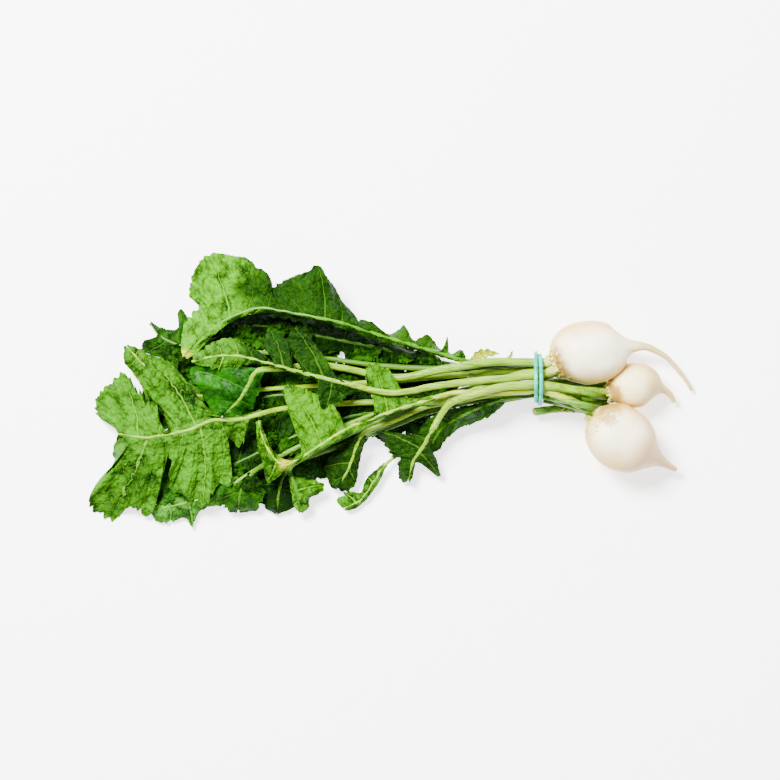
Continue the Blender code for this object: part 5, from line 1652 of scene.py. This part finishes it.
class Finishes:
    """The bunch's materials, each made once."""

    def __init__(self) -> None:
        """Start with no material made."""
        self.made: dict[str, bpy.types.Material] = {}

    def blade(self, look: Look) -> bpy.types.Material:
        """Return the leaf blade's material: veined, blistered and mottled.

        Args:
            look: the kind of leaf.

        Returns:
            The material.
        """
        name = f"blade_{look.name.lower()}"
        if name in self.made:
            return self.made[name]
        finish = look.value
        g = Graph(name)
        side, rib, gap = g.layer("side"), g.layer("rib"), g.layer("vein_gap")
        warp = g.clouds(160.0, 2.0) - 0.5
        away = ((g.layer("phase") + warp * 0.16 + 0.5).fract() - 0.5).size() * gap
        width = (1.25 - side * 0.95) * (g.layer("major") * 0.55 + 0.45)
        side_vein = 1 - away.step(width * 0.3, width)
        branch = ((rib * 0.16 - away * 0.17 + warp * 0.9).fract() - 0.5).size()
        branch_vein = (1 - branch.step(0.02, 0.075)) * (0.75 - side * 0.3)
        cell = g.cells(340.0)
        net_vein = cell.step(0.60, 0.85)
        fine = g.cells(900.0)
        quilt = g.cells(150.0)
        veins = (side_vein * 0.9).most(branch_vein * 0.5).most(net_vein * 0.3)
        shade = g.layer("shade")
        tone = (g.clouds(30.0, 3.0, 0.6) - 0.5) * 2.3 + (g.clouds(110.0, 2.0) - 0.5) * 1.2 + 0.62
        tone = tone + (shade * -0.6).most(0.0)
        # Lighter over the blisters' domes and darker in the hollows between them: partly the blade's own
        # mottle, partly painted light and shade of the relief.
        tone = tone + (0.52 - cell) * 0.8 + (0.5 - fine) * 0.3 + (0.5 - quilt) * 1.0
        # Painted shade in the furrows beside the side veins.
        tone = tone - (1 - away.step(width, width * 3.2)) * side.step(0.0, 0.3) * 0.40
        # Painted shade: the shade layer's patches and dark leaflets are mixed towards the dark colour, and
        # their veins fade.
        deep = shade.step(0.0, 1.1) * 0.92
        blade = g.mix(tone.step(-0.1, 1.1), finish.dark, finish.light)
        blade = g.mix(deep, blade, finish.dark)
        yellow = g.layer("ripe") + g.clouds(60.0, 3.0).step(0.62, 0.85) * 0.25
        blade = g.mix(yellow.step(0.1, 1.2), blade, RIPE_YELLOW)
        colour = g.mix(veins * (1 - deep * 0.75), blade, finish.vein)
        height = quilt * -2.2 - cell * 0.9 - fine * 0.25
        height = height - net_vein * 0.25 - branch_vein * 0.5 - side_vein * 0.8
        gloss = g.clouds(240.0, 2.0) * 0.16 + (finish.roughness - 0.06)
        self.made[name] = g.dress(base_color=colour, roughness=gloss,
                                  normal=g.relief(height, finish.relief, BLISTER_DEPTH),
                                  specular_ior_level=finish.sheen)
        return self.made[name]

    def stem(self, look: Look) -> bpy.types.Material:
        """Return the leaf stem's and midrib's material: pale at the crown, with fine lengthwise streaks.

        Args:
            look: the kind of leaf.

        Returns:
            The material.
        """
        name = f"stem_{look.name.lower()}"
        if name in self.made:
            return self.made[name]
        finish = look.value
        g = Graph(name)
        along = g.layer("along")
        stretch = g.node("ShaderNodeMapping", {}, {"Vector": g.spot, "Scale": (0.06, 1.0, 1.0)})
        streak = g.node("ShaderNodeTexNoise", {}, {"Vector": stretch.outputs[0], "Scale": 900.0,
                                                   "Detail": 2.0})
        streaks = Field(g, streak.outputs["Fac"])
        young = (1 - along.step(0.015, 0.09)) * g.layer("pale")
        colour = g.mix(young, finish.stem, CROWN_PALE)
        colour = g.mix(along.step(0.90, 1.25) * 0.55, colour, finish.vein)
        lighter = tuple(min(1.0, 1.8 * part) for part in finish.stem)
        darker = tuple(0.3 * part for part in finish.stem)
        colour = g.mix(streaks.step(0.42, 0.68) * 0.6, colour, lighter)
        colour = g.mix((1 - streaks.step(0.34, 0.50)) * 0.55, colour, darker)
        stain = g.clouds(70.0, 4.0, 0.6).step(0.60, 0.78) * 0.30
        colour = g.mix(stain, colour, STEM_STAIN)
        self.made[name] = g.dress(base_color=colour, roughness=0.34 + streaks * 0.12,
                                  normal=g.relief(streaks, 0.35, 0.0005), specular_ior_level=0.2)
        return self.made[name]

    def leaf_bases(self) -> bpy.types.Material:
        """Make the old leaf bases' material: cream and green with brown tips.

        Returns:
            The material.
        """
        if "leaf_bases" not in self.made:
            g = Graph("leaf_bases")
            fine = g.clouds(420.0, 4.0, 0.65)
            colour = g.mix(g.clouds(130.0, 2.0).step(0.40, 0.60), BASE_CREAM, BASE_GREEN)
            brown = g.layer("along").step(0.55, 1.0) * fine.step(0.35, 0.60)
            colour = g.mix(brown * 0.8, colour, SCAR_BROWN)
            self.made["leaf_bases"] = g.dress(base_color=colour, roughness=0.6, specular_ior_level=0.15,
                                              normal=g.relief(fine, 0.6, 0.0006))
        return self.made["leaf_bases"]

    def torn_end(self) -> bpy.types.Material:
        """Make the torn stem's dried end: brown and grainy.

        Returns:
            The material.
        """
        g = Graph("torn_end")
        grain = g.clouds(900.0, 4.0, 0.7)
        colour = g.mix(grain.step(0.35, 0.65), TORN_DARK, TORN_LIGHT)
        return g.dress(base_color=colour, roughness=0.85, normal=g.relief(grain, 0.8, 0.0006))

    def skin(self, shape: RootShape) -> bpy.types.Material:
        """Return a root's skin: white, with a tan crown, faint rings and pores, and a darker tail.

        Args:
            shape: the root.

        Returns:
            The material.
        """
        g = Graph(f"skin_{shape.name}")
        along = g.layer("along")
        end = shape.profile[-1][0]
        cloud = g.clouds(38.0, 4.0, 0.55)
        fine = g.clouds(260.0, 4.0, 0.6)
        turn = g.layer("turn")
        # Painted shade: the skin turns to the creamier blush towards the sides and underneath.
        colour = g.mix((turn + (cloud - 0.5) * 0.25).step(0.10, 0.40), shape.skin, shape.blush)
        colour = g.mix(cloud.step(0.48, 0.78) * 0.30, colour, shape.blush)
        crown = (1 - along.step(0.5, 11.0)) * (0.45 + cloud * 1.1)
        colour = g.mix(crown, colour, CROWN_YELLOW)
        scar = (1 - along.step(2.0, 12.0)) * (fine + (cloud - 0.5) * 0.9).step(0.45, 0.60)
        colour = g.mix(scar * 0.85, colour, SCAR_BROWN)
        # Brown mark by the crown: partly earth, partly painted shade where the roots and stems meet.
        earth_and_shade = g.layer("shade") * (cloud * 1.1 + fine * 0.8).step(0.60, 1.20)
        colour = g.mix(earth_and_shade.step(0.03, 0.35) * 0.8, colour, EARTH_AND_SHADE_BROWN)
        ring = ((along * 1.35 + cloud * 3.0).sine()).step(0.90, 1.0) * fine.step(0.45, 0.60)
        colour = g.mix(ring * 0.25, colour, shape.blush)
        blot = g.clouds(75.0, 5.0, 0.7).step(0.63, 0.72)
        colour = g.mix(blot * 0.30, colour, shape.blush)
        pore = (1 - g.cells(150.0).step(0.04, 0.10)) * fine.step(0.42, 0.55)
        colour = g.mix(pore * 0.40, colour, SCAR_BROWN)
        colour = g.mix(along.step(0.40 * end, 0.60 * end) * 0.85, colour, shape.tail)
        height = fine * 0.4 - ring * 0.5 - pore * 0.5 - scar * 0.8
        return g.dress(base_color=colour, roughness=0.36 + fine * 0.12, subsurface_weight=0.03,
                       subsurface_radius=(0.006, 0.004, 0.002), subsurface_scale=1.0,
                       normal=g.relief(height, 0.35, 0.0005), specular_ior_level=0.3)

    def rubber(self) -> bpy.types.Material:
        """Make the band's rubber: turquoise, with a worn bloom.

        Returns:
            The material.
        """
        g = Graph("rubber")
        grain = g.clouds(700.0, 3.0, 0.6)
        worn = g.clouds(130.0, 2.0)
        colour = g.mix(worn.step(0.40, 0.65), BAND_DARK, BAND_LIGHT)
        return g.dress(base_color=colour, roughness=0.34 + grain * 0.16, specular_ior_level=0.12,
                       normal=g.relief(grain, 0.2, 0.0003))


@dataclass(frozen=True)
class SoftBox:
    """A square soft lamp that points at the origin, in metres and watts."""

    name: str
    place: tuple[float, float, float]
    side: float
    power: float

    def hang(self) -> None:
        """Hang the lamp."""
        lamp = bpy.data.lights.new(self.name, "AREA")
        lamp.shape = "RECTANGLE"
        lamp.size = lamp.size_y = self.side
        lamp.energy = self.power
        obj = bpy.data.objects.new(self.name, lamp)
        obj.location = self.place
        obj.rotation_euler = Vector(self.place).to_track_quat("Z", "Y").to_euler()
        bpy.context.scene.collection.objects.link(obj)


@dataclass(frozen=True)
class Studio:
    """The pale floor, the soft lights and the camera straight above, in metres and watts.

    Args:
        floor_half: half the floor's side.
        floor_drop: how far the floor lies under the bunch.
        floor_glow: strength of the floor's own light.
        room_light: strength of the light from all round.
        lamps: the soft lamps.
        lens: the camera's focal length in millimetres, long for a view with little depth.
        sensor: the sensor's width in millimetres.
        view_width: width of the picture at view_level, in millimetres of the plan.
        view_middle: the picture's middle in plan.
        view_level: the height at which the picture has that width.
        farthest: the farthest that the camera sees.
    """

    floor_half: float = 4.0
    floor_drop: float = 0.0006
    floor_glow: float = 2.0
    room_light: float = 0.7
    lamps: tuple[SoftBox, ...] = (SoftBox("key_light", (-0.7, 0.9, 1.7), 0.7, 275.0),
                                  SoftBox("fill_light", (1.2, -0.9, 1.6), 1.6, 22.0))
    lens: float = 250.0
    sensor: float = 36.0
    view_width: float = 585.0
    view_middle: tuple[float, float] = (-1.9, 0.75)
    view_level: float = 0.02
    farthest: float = 20.0

    def build(self) -> None:
        """Build the studio."""
        self._floor()
        for lamp in self.lamps:
            lamp.hang()
        self._room()
        self._camera()

    def _floor(self) -> None:
        """Lay the pale floor."""
        bm = bmesh.new()
        bmesh.ops.create_grid(bm, x_segments=2, y_segments=2, size=self.floor_half)
        bmesh.ops.translate(bm, verts=bm.verts[:], vec=(0, 0, -self.floor_drop))
        mesh = bpy.data.meshes.new("floor")
        bm.to_mesh(mesh)
        bm.free()
        g = Graph("floor_paper")
        paper = g.mix(g.clouds(900.0, 2.0) * 0.2, PAPER_LIGHT, PAPER_DARK)
        mesh.materials.append(g.dress(base_color=paper, roughness=0.9, emission_strength=self.floor_glow,
                                      emission_color=WHITE))
        floor = bpy.data.objects.new("floor", mesh)
        bpy.context.scene.collection.objects.link(floor)

    def _room(self) -> None:
        """Set the light from all round."""
        world = bpy.context.scene.world or bpy.data.worlds.new("room")
        bpy.context.scene.world = world
        world.use_nodes = True
        back = world.node_tree.nodes["Background"]
        back.inputs["Color"].default_value = (*WHITE, 1.0)
        back.inputs["Strength"].default_value = self.room_light

    def _camera(self) -> None:
        """Set up the camera, which looks straight down."""
        camera = bpy.data.cameras.new("camera")
        camera.lens = self.lens
        camera.sensor_width = self.sensor
        camera.clip_end = self.farthest
        obj = bpy.data.objects.new("camera", camera)
        height = self.view_width * MM * self.lens / self.sensor + self.view_level
        obj.location = in_frame(*self.view_middle, height)
        bpy.context.scene.collection.objects.link(obj)
        bpy.context.scene.camera = obj


def keep(piece: bpy.types.Object, node: str) -> None:
    """Make a piece stand for its node.

    Args:
        piece: the finished piece.
        node: the node it replaces.
    """
    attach(piece, "root")
    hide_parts(node)
    LOG.info("%s: %d faces", piece.name, len(piece.data.polygons))


def main() -> None:
    """Build the bunch's pieces in order and report each."""
    logging.basicConfig(level=logging.INFO, format="%(message)s")
    finishes = Finishes()
    for seed, leaf in enumerate(LEAVES):
        maker = LeafModel if leaf.left else TornStem
        keep(maker(leaf, seed).build(finishes), leaf.name)
    for seed, shape in enumerate(ROOTS):
        keep(RootModel(shape, seed).build(finishes), shape.name)
    keep(RubberBand().build(finishes), "rubber_band")
    Studio().build()


if __name__ == "__main__":
    main()
